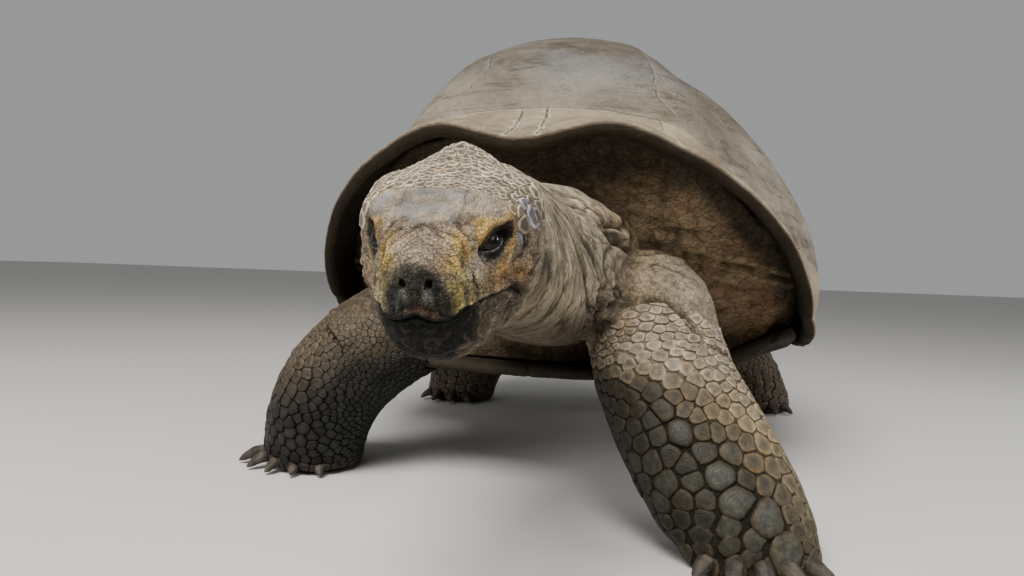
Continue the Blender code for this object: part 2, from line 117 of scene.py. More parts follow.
def makeStudio():
    world = bpy.data.worlds.new("studio")
    world.use_nodes = True
    back = world.node_tree.nodes["Background"]
    back.inputs["Color"].default_value = (*studio["sky"], 1)
    back.inputs["Strength"].default_value = studio["skyStrength"]
    bpy.context.scene.world = world
    addLamp("overhead", (-0.2, -2.5, 3.0), (0, -0.35, 0.3), (2.2, 1.7), 290, (1.0, 0.975, 0.93))
    addLamp("front", (-2.4, -3.4, 1.9), (0, -0.6, 0.35), (2.0, 1.5), 40, (1.0, 0.965, 0.92))
    addLamp("left", (3.6, -1.2, 2.0), (0.2, -0.4, 0.3), (1.8, 1.8), 48, (1.0, 0.98, 0.95))
    addLamp("glint", (2.4, 0.9, 1.0), (0.08, -0.8, 0.36), (0.5, 0.4), 9, (1.0, 1.0, 1.0))
    floorMesh = bpy.data.meshes.new("floor")
    reach = 30.0
    floorMesh.from_pydata([(-reach, -reach, 0), (reach, -reach, 0), (reach, reach, 0), (-reach, reach, 0)],
                          [], [(0, 1, 2, 3)])
    floor = bpy.data.objects.new("floor", floorMesh)
    bpy.context.scene.collection.objects.link(floor)
    floorMesh.materials.append(dressed(newMaterial("pale_floor"), studio["floor"], 0.85))


# ---- numbers ----
def smooth(x, start, end):
    t = np.clip((x - start) / (end - start), 0, 1)
    return t * t * (3 - 2 * t)


def falling(x, start, end):
    return 1 - smooth(x, start, end)


def held(x):
    return np.clip(x, 0, 1)


def columns(*rows):
    return np.stack(rows, axis=1)


def lengths(rows):
    return np.linalg.norm(rows, axis=1)


def mix(a, b, t):
    return a + (b - a) * t


def unit(v):
    return v / np.maximum(np.linalg.norm(v, axis=-1, keepdims=True), 1e-12)


def hashed(x, y, z, seed):
    h = (x * 374761393 + y * 668265263 + z * 1442695041 + seed * 974711) & 0xffffffff
    h = ((h ^ (h >> 13)) * 1274126177) & 0xffffffff
    h = ((h ^ (h >> 15)) * 2246822519) & 0xffffffff
    return ((h ^ (h >> 16)) & 0xffff) / 32767.5 - 1.0


def noise(points, size, seed=0):
    # Smooth random values from -1 to 1; size is the width of a lump, one number or three.
    p = np.asarray(points) / np.asarray(size)
    cell = np.floor(p).astype(np.int64)
    f = p - cell
    f = f * f * f * (f * (f * 6 - 15) + 10)
    total = np.zeros(len(p))
    for dx in (0, 1):
        for dy in (0, 1):
            for dz in (0, 1):
                w = ((f[:, 0] if dx else 1 - f[:, 0]) * (f[:, 1] if dy else 1 - f[:, 1])
                     * (f[:, 2] if dz else 1 - f[:, 2]))
                total += w * hashed(cell[:, 0] + dx, cell[:, 1] + dy, cell[:, 2] + dz, seed)
    return total


def fractal(points, size, octaves=3, seed=0):
    total, weight = 0.0, 1.0
    for k in range(octaves):
        total = total + weight * noise(points, np.asarray(size) / 2 ** k, seed + 17 * k)
        weight *= 0.5
    return total / (2 - 2 * weight)


def bell(x, width):
    # 1 where x is 0, falling off over the width.
    return np.exp(-(x / width) ** 2)


def bump(points, centre, size):
    # A soft ball: 1 at the centre, falling off over size (one number or three).
    return np.exp(-(((points - np.asarray(centre)) / np.asarray(size)) ** 2).sum(axis=1))


def alongLine(points, line):
    # Distance to a polyline and the share of the way along it.
    line = np.asarray(line, float)
    best = np.full(len(points), 1e9)
    share = np.zeros(len(points))
    for k in range(len(line) - 1):
        a, d = line[k], line[k + 1] - line[k]
        t = held((points - a) @ d / (d @ d))
        far = lengths(points - a - t[:, None] * d)
        nearer = far < best
        best = np.where(nearer, far, best)
        share = np.where(nearer, (k + t) / (len(line) - 1), share)
    return best, share


def curveThrough(points, steps=8):
    # A Catmull-Rom curve through a few points.
    rows = [np.asarray(p, float) for p in points]
    ends = [2 * rows[0] - rows[1]] + rows + [2 * rows[-1] - rows[-2]]
    out = []
    for k in range(len(rows) - 1):
        p0, p1, p2, p3 = ends[k:k + 4]
        for t in np.arange(steps) / steps:
            out.append(0.5 * (2 * p1 + (p2 - p0) * t + (2 * p0 - 5 * p1 + 4 * p2 - p3) * t**2
                              + (3 * p1 - p0 - 3 * p2 + p3) * t**3))
    out.append(rows[-1])
    return np.array(out)


# ---- meshes ----
def addObject(name, mesh):
    obj = bpy.data.objects.new(name, mesh)
    bpy.context.scene.collection.objects.link(obj)
    return obj


def meshFrom(name, verts, faces):
    mesh = bpy.data.meshes.new(name)
    mesh.from_pydata(np.asarray(verts, float).tolist(), [], [tuple(int(i) for i in f) for f in faces])
    mesh.update()
    return mesh


def placesOf(mesh):
    out = np.empty(len(mesh.vertices) * 3)
    mesh.vertices.foreach_get("co", out)
    return out.reshape(-1, 3)


def setPlaces(mesh, points):
    mesh.vertices.foreach_set("co", np.ascontiguousarray(points, dtype=np.float32).ravel())
    mesh.update()


def normalsOf(mesh):
    out = np.empty(len(mesh.vertices) * 3, dtype=np.float32)
    mesh.vertex_normals.foreach_get("vector", out)
    return out.reshape(-1, 3).astype(float)


def edgesOf(mesh):
    out = np.empty(len(mesh.edges) * 2, dtype=np.int32)
    mesh.edges.foreach_get("vertices", out)
    return out.reshape(-1, 2)


def writeValues(mesh, name, values, kind="FLOAT", domain="POINT"):
    if name in mesh.attributes:
        mesh.attributes.remove(mesh.attributes[name])
    layer = mesh.attributes.new(name, kind, domain)
    key = {"FLOAT": "value", "FLOAT_VECTOR": "vector", "FLOAT_COLOR": "color"}[kind]
    layer.data.foreach_set(key, np.ascontiguousarray(values, dtype=np.float32).ravel())


def withAlpha(tone):
    return np.concatenate([tone, np.ones((len(tone), 1))], axis=1)


def readValues(mesh, name):
    layer = mesh.attributes[name]
    out = np.empty(len(layer.data), dtype=np.float32)
    layer.data.foreach_get("value", out)
    return out.astype(float)


def relax(points, edges, rounds, weight=None, keep=True):
    # Laplacian smoothing; with keep every other round pushes back so that nothing shrinks.
    a, b = edges[:, 0], edges[:, 1]
    count = np.maximum(np.bincount(a, minlength=len(points)) + np.bincount(b, minlength=len(points)), 1)
    w = 1.0 if weight is None else weight[:, None]
    for _ in range(rounds):
        for step in ((0.55, -0.58) if keep else (0.55,)):
            total = [np.bincount(a, points[b, c], len(points)) + np.bincount(b, points[a, c], len(points))
                     for c in range(3)]
            mean = np.stack(total, axis=1) / count[:, None]
            points = points + (mean - points) * step * w
    return points


def looseCopy(solid, swell=0.0):
    # A merged copy of a CAD solid, grown along its normals.
    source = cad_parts[solid]
    bm = bmesh.new()
    bm.from_mesh(source.data)
    bm.transform(source.matrix_world)
    bmesh.ops.remove_doubles(bm, verts=bm.verts, dist=0.00005)
    bmesh.ops.recalc_face_normals(bm, faces=bm.faces)
    bm.normal_update()
    if swell:
        moves = [v.normal * swell for v in bm.verts]
        for v, move in zip(bm.verts, moves):
            v.co += move
    return bm


def joined(parts):
    whole = bpy.data.meshes.new("joined")
    bm = bmesh.new()
    for part in parts:
        step = bpy.data.meshes.new("step")
        part.to_mesh(step)
        bm.from_mesh(step)
        bpy.data.meshes.remove(step)
        part.free()
    bm.to_mesh(whole)
    bm.free()
    return whole


def realised(obj, mesh):
    # The object's mesh with its modifiers in it; the object and the old mesh go.
    graph = bpy.context.evaluated_depsgraph_get()
    result = bpy.data.meshes.new_from_object(obj.evaluated_get(graph), preserve_all_data_layers=True,
                                             depsgraph=graph)
    bpy.data.objects.remove(obj)
    bpy.data.meshes.remove(mesh)
    return result


def applied(mesh, kind, **settings):
    # The mesh after one modifier.
    obj = addObject("workpiece", mesh)
    modifier = obj.modifiers.new("step", kind)
    for key, value in settings.items():
        setattr(modifier, key, value)
    return realised(obj, mesh)


def lighter(mesh, ratio):
    return applied(mesh, "DECIMATE", decimate_type="COLLAPSE", ratio=ratio)


@contextmanager
def opened(mesh):
    # The mesh as a bmesh, written back at the end.
    bm = bmesh.new()
    bm.from_mesh(mesh)
    yield bm
    bm.to_mesh(mesh)
    bm.free()


def facedOut(mesh):
    with opened(mesh) as bm:
        bmesh.ops.recalc_face_normals(bm, faces=bm.faces)
    return mesh


def surfaceTree(source):
    # A tree for nearest places and rays, from a mesh or from an open bmesh, which it closes.
    bm = source
    if isinstance(source, bpy.types.Mesh):
        bm = bmesh.new()
        bm.from_mesh(source)
    tree = BVHTree.FromBMesh(bm)
    bm.free()
    return tree


def pointTree(points):
    tree = KDTree(len(points))
    for k, p in enumerate(points):
        tree.insert(p, k)
    tree.balance()
    return tree


def triangles(mesh):
    return sum(len(p.vertices) - 2 for p in mesh.polygons)


def finishPiece(name, mesh, material, slot, *nodes):
    # A finished piece: smooth shading, its material, its body and the solids that it stands for; the slot is not
    # used.
    mesh.name = name
    mesh.materials.clear()
    mesh.materials.append(material)
    mesh.shade_smooth()
    obj = addObject(name, mesh)
    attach(obj, "root")
    if nodes:
        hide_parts(*nodes)
    print(f"{name}: {triangles(mesh)} triangles")
    return obj


# ---- materials ----
inHand = {}      # the node tree that the functions below write in


def newMaterial(name):
    material = bpy.data.materials.new(name)
    material.use_nodes = True
    inHand["tree"] = material.node_tree
    return material


def setInputs(made, inputs):
    # Maps a socket's name or place to a value or to another node's output.
    for key, value in inputs.items():
        socket = made.inputs[key]
        if hasattr(value, "is_output"):
            inHand["tree"].links.new(value, socket)
        else:
            socket.default_value = (*value, 1) if socket.type == "RGBA" else value


def dressed(material, colour, roughness, specular=0.5, normal=None):
    looks = {"Base Color": colour, "Roughness": roughness, "Specular IOR Level": specular}
    if normal is not None:
        looks["Normal"] = normal
    setInputs(material.node_tree.nodes["Principled BSDF"], looks)
    return material


def node(kind, inputs=None, **settings):
    made = inHand["tree"].nodes.new(kind)
    for key, value in settings.items():
        setattr(made, key, value)
    setInputs(made, inputs or {})
    return made


def objectPlace():
    return node("ShaderNodeTexCoord").outputs["Object"]


def noiseValue(place, scale, detail=4.0, roughness=0.55, distortion=0.0):
    return node("ShaderNodeTexNoise", {"Vector": place, "Scale": scale, "Detail": detail,
                                       "Roughness": roughness, "Distortion": distortion}).outputs["Fac"]


def ranged(value, low, high, to=(0.0, 1.0)):
    return node("ShaderNodeMapRange", {"Value": value, "From Min": low, "From Max": high, "To Min": to[0],
                                       "To Max": to[1]}, interpolation_type="SMOOTHSTEP").outputs["Result"]


def blended(share, first, second, mode="MIX"):
    return node("ShaderNodeMix", {0: share, 6: first, 7: second}, data_type="RGBA",
                blend_type=mode).outputs[2]


def darkened(colour, share, tone):
    # The colour times the tone, by the share.
    return blended(share, colour, tone, "MULTIPLY")


def dimmed(colour, value):
    return darkened(colour, 1.0, node("ShaderNodeCombineXYZ", {0: value, 1: value, 2: value}).outputs[0])


def mathed(operation, first, second=0.0):
    return node("ShaderNodeMath", {0: first, 1: second}, operation=operation).outputs[0]


def times(first, second):
    return mathed("MULTIPLY", first, second)


def plus(first, second):
    return mathed("ADD", first, second)


def minus(first, second):
    return mathed("SUBTRACT", first, second)


def attribute(name, output="Fac"):
    return node("ShaderNodeAttribute", attribute_name=name).outputs[output]


def cellEdges(place, scale, randomness=1.0):
    # Distance to the edges of random cells.
    return node("ShaderNodeTexVoronoi", {"Vector": place, "Scale": scale, "Randomness": randomness},
                feature="DISTANCE_TO_EDGE").outputs["Distance"]


def stretched(place, *scale):
    return node("ShaderNodeMapping", {"Vector": place, "Scale": scale}).outputs[0]


def bumped(height, distance, strength=1.0, below=None):
    inputs = {"Height": height, "Distance": distance, "Strength": strength}
    if below is not None:
        inputs["Normal"] = below
    return node("ShaderNodeBump", inputs).outputs["Normal"]


# ---- shell form ----
# The same curves as the solid shell: degrees from the front, then the value there.
shellForm = {
    "length": 1.22, "width": 0.936, "power": 2.33, "crown": 0.778, "lip": 0.021,
    "rimHeight": ((0, 0.497), (11, 0.518), (20, 0.491), (38, 0.397), (56, 0.262), (74, 0.205), (90, 0.195),
                  (112, 0.2), (140, 0.243), (163, 0.232), (180, 0.212)),
    "rimReach": ((0, 1.0), (40, 1.0), (70, 0.95), (90, 0.925), (112, 0.93), (140, 0.985), (180, 1.0)),
    "rimFlare": ((0, 20), (38, 42), (90, 108), (140, 50), (180, 55)),
    "bendReach": ((0, 0.835), (38, 0.86), (65, 0.945), (90, 1.0), (140, 0.9), (180, 0.87)),
    "bendHeight": ((0, 0.58), (20, 0.565), (38, 0.478), (60, 0.373), (90, 0.31), (140, 0.335), (180, 0.335)),
    "bendSlope": ((0, 52), (38, 54), (90, 92), (140, 76), (180, 66)),
    "crownHandle": ((0, 0.37), (50, 0.275), (90, 0.27), (180, 0.29)),
    "bendHandle": ((0, 0.11), (50, 0.14), (90, 0.18), (180, 0.22)),
    "marginTop": ((0, 1.05), (25, 1.04), (60, 0.95), (90, 0.93), (140, 1.0), (180, 1.04)),
    "marginSeams": (-2, 2, 20, 38, 56, 74, 90, 105, 120, 135, 151, 167),
    # Left border of the middle plates from front to rear as sideways and along; the right one is its own.
    "middleLeft": ((0.205, -0.455), (0.168, -0.452), (0.162, -0.405), (0.128, -0.3), (0.172, -0.195),
                   (0.12, -0.085), (0.172, 0.02), (0.122, 0.13), (0.165, 0.235), (0.112, 0.335), (0.19, 0.5)),
    "middleRight": ((-0.19, -0.452), (-0.12, -0.46), (-0.098, -0.42), (-0.118, -0.3), (-0.17, -0.195),
                    (-0.122, -0.085), (-0.172, 0.02), (-0.12, 0.13), (-0.165, 0.235), (-0.112, 0.335),
                    (-0.19, 0.5)),
    "middleCross": (3, 5, 7, 9),                       # these border points are joined across
    "sideSeams": ((4, 63), (6, 92), (8, 121)),         # border point, degrees where the seam meets the margin
    "grooveDeep": 0.0024, "grooveWide": 0.0021, "plateSwell": 0.0026, "spacing": 0.0085,
}


def stationed(name, angle):
    # Smooth value through the stations, level at both ends, for degrees from the front.
    xs = np.array([s[0] for s in shellForm[name]], float)
    ys = np.array([s[1] for s in shellForm[name]], float)
    rise = np.diff(ys) / np.diff(xs)
    slope = np.zeros(len(xs))
    same = rise[:-1] * rise[1:] > 0
    slope[1:-1][same] = 2 * rise[:-1][same] * rise[1:][same] / (rise[:-1][same] + rise[1:][same])
    x = np.clip(angle, xs[0], xs[-1])
    k = np.clip(np.searchsorted(xs, x, side="right") - 1, 0, len(xs) - 2)
    width = xs[k + 1] - xs[k]
    t = (x - xs[k]) / width
    return ((2 * t**3 - 3 * t**2 + 1) * ys[k] + (t**3 - 2 * t**2 + t) * slope[k] * width
            + (3 * t**2 - 2 * t**3) * ys[k + 1] + (t**3 - t**2) * slope[k + 1] * width)


def shellSection(angle, s):
    # Reach and height of the outer surface; s is 0 at the crown, 1 at the bend and 2 at the free edge.
    form = shellForm
    a = abs((angle + 180) % 360 - 180)
    r = np.radians(a)
    plan = ((abs(np.sin(r)) / (form["width"] / 2)) ** form["power"]
            + (abs(np.cos(r)) / (form["length"] / 2)) ** form["power"]) ** (-1 / form["power"])
    bend = np.stack([plan * stationed("bendReach", a), stationed("bendHeight", a)])
    slope = np.radians(stationed("bendSlope", a))
    down = np.stack([np.cos(slope), -np.sin(slope)])
    crown = np.stack([0 * a, form["crown"] + 0 * a])
    handle = np.stack([stationed("crownHandle", a), form["crown"] + 0 * a])
    upper = (crown, handle, bend - stationed("bendHandle", a) * down, bend)
    seams = np.array((-2,) + form["marginSeams"][1:] + (193,), float)
    k = np.clip(np.searchsorted(seams, a, side="right") - 1, 0, len(seams) - 2)
    bow = np.sin(np.pi * held((a - seams[k]) / (seams[k + 1] - seams[k]))) ** 0.7
    edge = np.stack([plan * stationed("rimReach", a) + 0.006 * bow * smooth(a, 30, 60),
                     stationed("rimHeight", a) + form["lip"] * 0.9])
    flare = np.radians(stationed("rimFlare", a))
    run = np.hypot(*(edge - bend))
    lower = (bend, bend + 0.38 * run * down, edge - 0.4 * run * np.stack([np.cos(flare), -np.sin(flare)]),
             edge)
    t = np.where(s <= 1, s, s - 1)
    p = [np.where(s <= 1, u, w) for u, w in zip(upper, lower)]
    return (1 - t)**3 * p[0] + 3 * (1 - t)**2 * t * p[1] + 3 * (1 - t) * t**2 * p[2] + t**3 * p[3]


def shellPlace(angle, s, depth=0.0):
    # Points on the shell (in the frame of the solids) and their outward normals.
    angle, s = np.broadcast_arrays(np.asarray(angle, float), np.asarray(s, float))
    here = shellSection(angle, s)
    step = shellSection(angle, np.minimum(s + 0.01, 2)) - shellSection(angle, np.maximum(s - 0.01, 0))
    inward = np.stack([step[1], -step[0]])
    inward = inward / np.maximum(np.hypot(*inward), 1e-9)
    reach, height = here + inward * depth
    r = np.radians(angle)
    places = np.stack([reach * np.sin(r), -reach * np.cos(r), height], axis=-1)
    out = np.stack([-inward[0] * np.sin(r), inward[0] * np.cos(r), -inward[1]], axis=-1)
    return places + shellMid, out


def diskFrom(side, ahead):
    # The disk place (angle, s) of a point given as sideways and along on the shell's plan.
    angle = math.degrees(math.atan2(side, -ahead))
    reach = math.hypot(side, ahead)
    steps = np.linspace(0, 1.15, 300)
    reaches = shellSection(np.full(300, angle), steps)[0]
    return angle, float(np.interp(reach, np.maximum.accumulate(reaches), steps))


def shellSeams():
    # Every seam as a polyline of disk coordinates, with how deep it is.
    def onDisk(angle, s):
        return np.array([s * math.sin(math.radians(angle)), -s * math.cos(math.radians(angle))])

    lines = []
    margin = np.arange(0, 361, 3.0)
    tops = stationed("marginTop", abs((margin + 180) % 360 - 180))
    lines.append(([onDisk(a, s) for a, s in zip(margin, tops)], 0.7))
    sides = [[onDisk(*diskFrom(*p)) for p in shellForm[name]] for name in ("middleLeft", "middleRight")]
    for border in sides:
        lines.append((border, 0.8))
    for k in shellForm["middleCross"]:
        a, b = sides[0][k], sides[1][k]
        lines.append(([a, mix(a, b, 0.35) + [0, 0.012], mix(a, b, 0.65) + [0, 0.008], b], 0.8))
    for border, sign in zip(sides, (1, -1)):
        for k, angle in shellForm["sideSeams"]:
            end = onDisk(sign * angle, float(stationed("marginTop", np.array(float(angle)))))
            middle = mix(border[k], end, 0.5) * 1.02
            lines.append(([border[k], middle, end], 0.8))
    for angle in shellForm["marginSeams"]:
        for sign in ((1,) if angle in (-2, 2) else (1, -1)):
            top = float(stationed("marginTop", np.array(abs(float(angle)))))
            near = 1.2 if abs(angle) == 2 else 1.0
            lines.append(([onDisk(sign * angle, s) for s in np.linspace(top, 2.0, 5)], near))
    return lines


def sampled(line, spacing):
    # Points every few millimetres of real length along a disk polyline, with a slight waver.
    line = np.array(line)
    fine = np.concatenate([np.linspace(a, b, 40, endpoint=False) for a, b in zip(line, line[1:])]
                          + [line[-1:]])
    real = shellPlace(*angleStep(fine))[0]
    length = np.concatenate([[0], np.cumsum(lengths(np.diff(real, axis=0)))])
    at = np.linspace(0, length[-1], max(int(length[-1] / spacing), 2) + 1)
    flat = np.stack([np.interp(at, length, fine[:, c]) for c in (0, 1)], axis=1)
    places = columns(flat[:, 0] * 0.3, flat[:, 1] * 0.3, 0 * at)
    waver = np.stack([noise(places, 0.03, 3) + noise(places, 0.009, 5) * 0.5,
                      noise(places, 0.03, 4) + noise(places, 0.009, 6) * 0.5], axis=1) * 0.0055
    fade = np.minimum(at, length[-1] - at) / 0.03
    return flat + waver * held(fade)[:, None]


def angleStep(flat):
    return np.degrees(np.arctan2(flat[:, 0], -flat[:, 1])), np.minimum(np.hypot(flat[:, 0], flat[:, 1]), 2.0)


def diskMetric(flat):
    # Metres per unit of disk outwards and round, and those two directions.
    angle, s = angleStep(flat)
    s = np.maximum(s, 0.02)
    low, high = shellPlace(angle, s)[0], shellPlace(angle + 0.5, s)[0]
    end = np.minimum(s + 0.01, 2)
    farther = shellPlace(angle, end)[0] - shellPlace(angle, end - 0.01)[0]
    out = flat / np.maximum(np.hypot(flat[:, 0], flat[:, 1]), 1e-9)[:, None]
    around = np.stack([-out[:, 1], out[:, 0]], axis=1)
    return (lengths(farther) / 0.01, lengths(high - low) / (s * math.radians(0.5)), out, around)


def makeShell():
    form = shellForm
    rimCount = 480
    spacing = form["spacing"]
    centres, strengths, rows = [], [], []
    for line, strength in shellSeams():
        path = sampled(line, 0.0038)
        run = np.gradient(path, axis=0)
        perOut, perRound, out, around = diskMetric(path)
        along = np.stack([(run * out).sum(1) * perOut, (run * around).sum(1) * perRound], axis=1)
        across = unit(np.stack([-along[:, 1], along[:, 0]], axis=1))
        step = out * (across[:, :1] / perOut[:, None]) + around * (across[:, 1:] / perRound[:, None])
        centres.append(path)
        strengths.append(np.full(len(path), strength))
        for shift in (-0.0046, -0.0017, 0.0, 0.0017, 0.0046):
            rows.append(path + step * shift)
    centres, strengths = np.concatenate(centres), np.concatenate(strengths)
    rows = np.concatenate(rows)
    tree = pointTree(shellPlace(*angleStep(centres))[0])

    base = [[0.0, 0.0]]
    s = 0.0
    while True:
        width = float(np.linalg.norm(shellPlace(45.0, min(s + 0.01, 2))[0] - shellPlace(45.0, s)[0])) / 0.01
        s += spacing / max(width, 0.2)
        if s > 1.985:
            break
        ring = shellPlace(np.arange(0, 360, 6.0), s)[0]
        length = lengths(ring - np.roll(ring, 1, axis=0)).sum()
        count = max(int(length / spacing), 6)
        turn = 2 * np.pi * (np.arange(count) + 0.5 * (len(base) % 2)) / count
        base += (s * np.stack([np.sin(turn), -np.cos(turn)], axis=1)).tolist()
    base = np.array(base)
    baseReal = shellPlace(*angleStep(base))[0]
    clear = np.array([tree.find(p)[2] for p in baseReal]) > 0.0075
    rowStep = np.hypot(rows[:, 0], rows[:, 1])
    rows = rows[rowStep < 1.985]
    turn = 2 * np.pi * np.arange(rimCount) / rimCount
    rim = 2.0 * np.stack([np.sin(turn), -np.cos(turn)], axis=1)
    flat = np.concatenate([rim, base[clear], rows])
    keys = np.round(flat / 0.004).astype(np.int64)
    _, first = np.unique(keys[:, 0] * 100003 + keys[:, 1], return_index=True)
    keep = np.zeros(len(flat), bool)
    keep[first] = True
    keep[:rimCount] = True
    flat = flat[keep]
    result = delaunay_2d_cdt([Vector(p) for p in flat], [], [], 0, 1e-6, False)
    flat = np.array([tuple(v) for v in result[0]])
    faces = [tuple(f) for f in result[2]]

    angle, s = angleStep(flat)
    places, out = shellPlace(angle, s)
    found = [tree.find(p) for p in places]
    far = np.array([f[2] for f in found])
    near = strengths[[f[1] for f in found]]
    wear = 0.8 + 0.35 * noise(places, 0.055, 11)
    groove = bell(far, form["grooveWide"]) * near * np.clip(wear, 0.35, 1.1)
    lift = form["plateSwell"] * (1 - np.exp(-far / 0.03)) - form["grooveDeep"] * groove
    rings = np.sin(far * 2 * np.pi / 0.0075 + 2.5 * noise(places, 0.08, 21))
    worn = smooth(noise(places, 0.16, 31), -0.3, 0.5)
    lift += 0.0004 * rings * smooth(far, 0.004, 0.012) * falling(far, 0.05, 0.1) * worn
    lift += 0.003 * fractal(places, (0.17, 0.17, 0.14), 3, 41) + 0.0011 * fractal(places, 0.026, 2, 51)
    lift *= 1 - smooth(s, 1.9, 2.0) * 0.6
    places = places + out * lift[:, None]

    # The rounded lip and the inside are plain rings below the rim, in the rim's own order.
    order = np.argsort(np.where(abs(s - 2.0) < 1e-4,
                                np.degrees(np.arctan2(flat[:, 0], -flat[:, 1])) % 360, 1e9))
    edge = order[:rimCount]
    turns = np.degrees(np.arctan2(flat[edge, 0], -flat[edge, 1])) % 360
    outer, edgeOut = places[edge], out[edge]
    beyond = unit(shellPlace(turns, 2.0)[0] - shellPlace(turns, 1.95)[0])
    allPlaces = [places]
    margin = smooth(s - stationed("marginTop", abs(angle)), -0.012, 0.012)
    extra = {"groove": [groove], "far": [far], "under": [np.zeros(len(places))], "margin": [margin]}

    # The hidden rows inside the rim get under, painted shade that darkens them.
    def hiddenRow(count, under):
        for name, value in (("groove", 0.0), ("far", 0.05), ("margin", 1.0), ("under", under)):
            extra[name].append(np.full(count, value))

    lip = form["lip"]
    rough = noise(outer, 0.03, 61)[:, None] * 0.001 + noise(outer, 0.008, 62)[:, None] * 0.0004
    inner = [outer - edgeOut * lip * depth + beyond * (reach + rough)
             for depth, reach in ((0.08, 0.0026), (0.26, 0.0038), (0.58, 0.0034), (0.9, 0.0012))]
    for step, depth in ((1.97, 1.0), (1.9, 0.98), (1.8, 0.92), (1.68, 0.85), (1.54, 0.8), (1.4, 0.77),
                        (1.2, 0.765), (1.0, 0.762), (0.75, 0.762), (0.5, 0.762), (0.25, 0.762)):
        ring, ringOut = shellPlace(turns, step, lip * depth)
        ring = ring + ringOut * (noise(ring, 0.05, 71)[:, None] * 0.0012 * (step > 1.3))
        inner.append(ring)
    start = len(places)
    before = edge
    for k, ring in enumerate(inner):
        allPlaces.append(ring)
        after = start + np.arange(rimCount)
        faces += [(int(before[i - 1]), int(before[i]), int(after[i]), int(after[i - 1]))
                  for i in range(rimCount)]
        before = after
        start += rimCount
        hiddenRow(rimCount, min(1.0, 0.5 * (k + 1)))
    allPlaces.append(shellPlace(0.0, 0.0, lip * 0.762)[0].reshape(1, 3))
    faces += [(int(before[i - 1]), int(before[i]), start) for i in range(rimCount)]
    hiddenRow(1, 1.0)
    mesh = facedOut(meshFrom("shell", np.concatenate(allPlaces), faces))
    for name, parts in extra.items():
        writeValues(mesh, name, np.concatenate(parts))
    return finishPiece("shell_plates", mesh, shellHorn(), "shell_horn", "carapace")


# under is near black: painted shade for the plastron and the inside of the shell.
shellLook = {"taupe": (0.15, 0.123, 0.092), "pale": (0.245, 0.212, 0.162), "stain": (0.062, 0.046, 0.031),
             "slate": (0.185, 0.192, 0.196), "seam": (0.034, 0.025, 0.017), "under": (0.014, 0.011, 0.008)}


def shellHorn():
    material, look, place = newMaterial("worn_shell_horn"), shellLook, objectPlace()
    margin, under, groove = (attribute(n) for n in ("margin", "under", "groove"))
    tall = stretched(place, 1.0, 1.0, 2.2)
    colour = blended(ranged(noiseValue(tall, 7.0, 8, 0.62), 0.4, 0.68), look["taupe"], look["pale"])
    colour = blended(ranged(noiseValue(tall, 3.1, 9, 0.7, 0.6), 0.49, 0.66, (0, 0.8)), colour, look["stain"])
    high = node("ShaderNodeSeparateXYZ", {0: place}).outputs["Z"]
    slate = times(ranged(noiseValue(place, 5.3, 5, 0.5, 0.4), 0.5, 0.66),
                  ranged(high, 0.55, 0.7, (0.08, 0.85)))
    colour = blended(slate, colour, look["slate"])
    fine = noiseValue(tall, 120.0, 6, 0.7)
    colour = blended(ranged(fine, 0.35, 0.75, (0.0, 0.35)), colour, look["stain"])
    scratch = node("ShaderNodeTexWave", {"Vector": tall, "Scale": 9.0, "Distortion": 9.0, "Detail": 5.0,
                                         "Detail Scale": 2.4}).outputs["Fac"]
    colour = blended(ranged(scratch, 0.8, 1.0, (0.0, 0.22)), colour, look["pale"])
    wander = node("ShaderNodeTexNoise", {"Vector": place, "Scale": 9.0}).outputs["Color"]
    shifted = node("ShaderNodeVectorMath", {0: place, 1: wander}, operation="ADD").outputs[0]
    cracks = cellEdges(shifted, 6.0)
    hair = times(ranged(cracks, 0.0, 0.012, (1.0, 0.0)), ranged(noiseValue(place, 4.0), 0.48, 0.62))
    colour = blended(times(hair, 0.6), colour, look["seam"])
    level = stretched(place, 1.0, 1.0, 7.0)
    streaks = noiseValue(level, 9.0, 9, 0.68, 0.8)
    colour = blended(times(ranged(streaks, 0.52, 0.7, (0.0, 0.8)), minus(1.0, margin)), colour, look["stain"])
    thin = mathed("ABSOLUTE", minus(noiseValue(level, 5.0, 6, 0.6, 0.3), 0.5))
    thin = times(ranged(thin, 0.0, 0.008, (1.0, 0.0)), ranged(noiseValue(place, 6.0), 0.44, 0.6))
    colour = blended(times(thin, 0.75), colour, look["stain"])
    # Painted shade: darker towards the top of the shell, a little lighter low down.
    colour = dimmed(colour, ranged(high, 0.42, 0.76, (1.1, 0.46)))
    colour = darkened(colour, times(margin, 0.8), (1.5, 1.42, 1.24))
    ragged = noiseValue(place, 60.0, 5, 0.7)
    flank = times(ranged(groove, 0.003, 0.08), ranged(ragged, 0.42, 0.58, (0.1, 1.0)))
    flank = times(flank, ranged(margin, 0.2, 0.9, (0.16, 0.9)))
    colour = blended(flank, colour, (0.34, 0.3, 0.235))
    seam = ranged(times(groove, ranged(ragged, 0.4, 0.6, (0.6, 1.1))), 0.22, 0.62, (0.0, 0.9))
    colour = blended(seam, colour, look["seam"])
    # Painted shade by under: the plastron and the inside of the shell go near black.
    colour = blended(times(under, 0.93), colour, look["under"])
    rough = ranged(noiseValue(place, 30.0, 5), 0.3, 0.7, (0.56, 0.78))
    coarse = bumped(plus(noiseValue(tall, 60.0, 8, 0.65), streaks), 0.0036, 0.7)
    lines = bumped(minus(fine, times(plus(hair, thin), 1.5)), 0.0008, 0.6, coarse)
    return dressed(material, colour, rough, ranged(under, 0.0, 1.0, (0.3, 0.04)), lines)


# ---- skin ----
skinForm = {"wallReach": 0.045, "wallInset": 0.012, "voxel": 0.0055, "swell": 0.0012, "coatDepth": 0.0016,
            "headLevels": (0.115, 0.085), "neckFine": -0.3, "maxTriangles": 194000}
skullMid = headMid - 0.04 * headForward
fleshNodes = ("trunk", "neck", "head", "lower_jaw", "foreleg_left", "foreleg_right", "hindleg_left",
              "hindleg_right", "tail")


def surfaceOf(solid):
    return surfaceTree(looseCopy(solid))


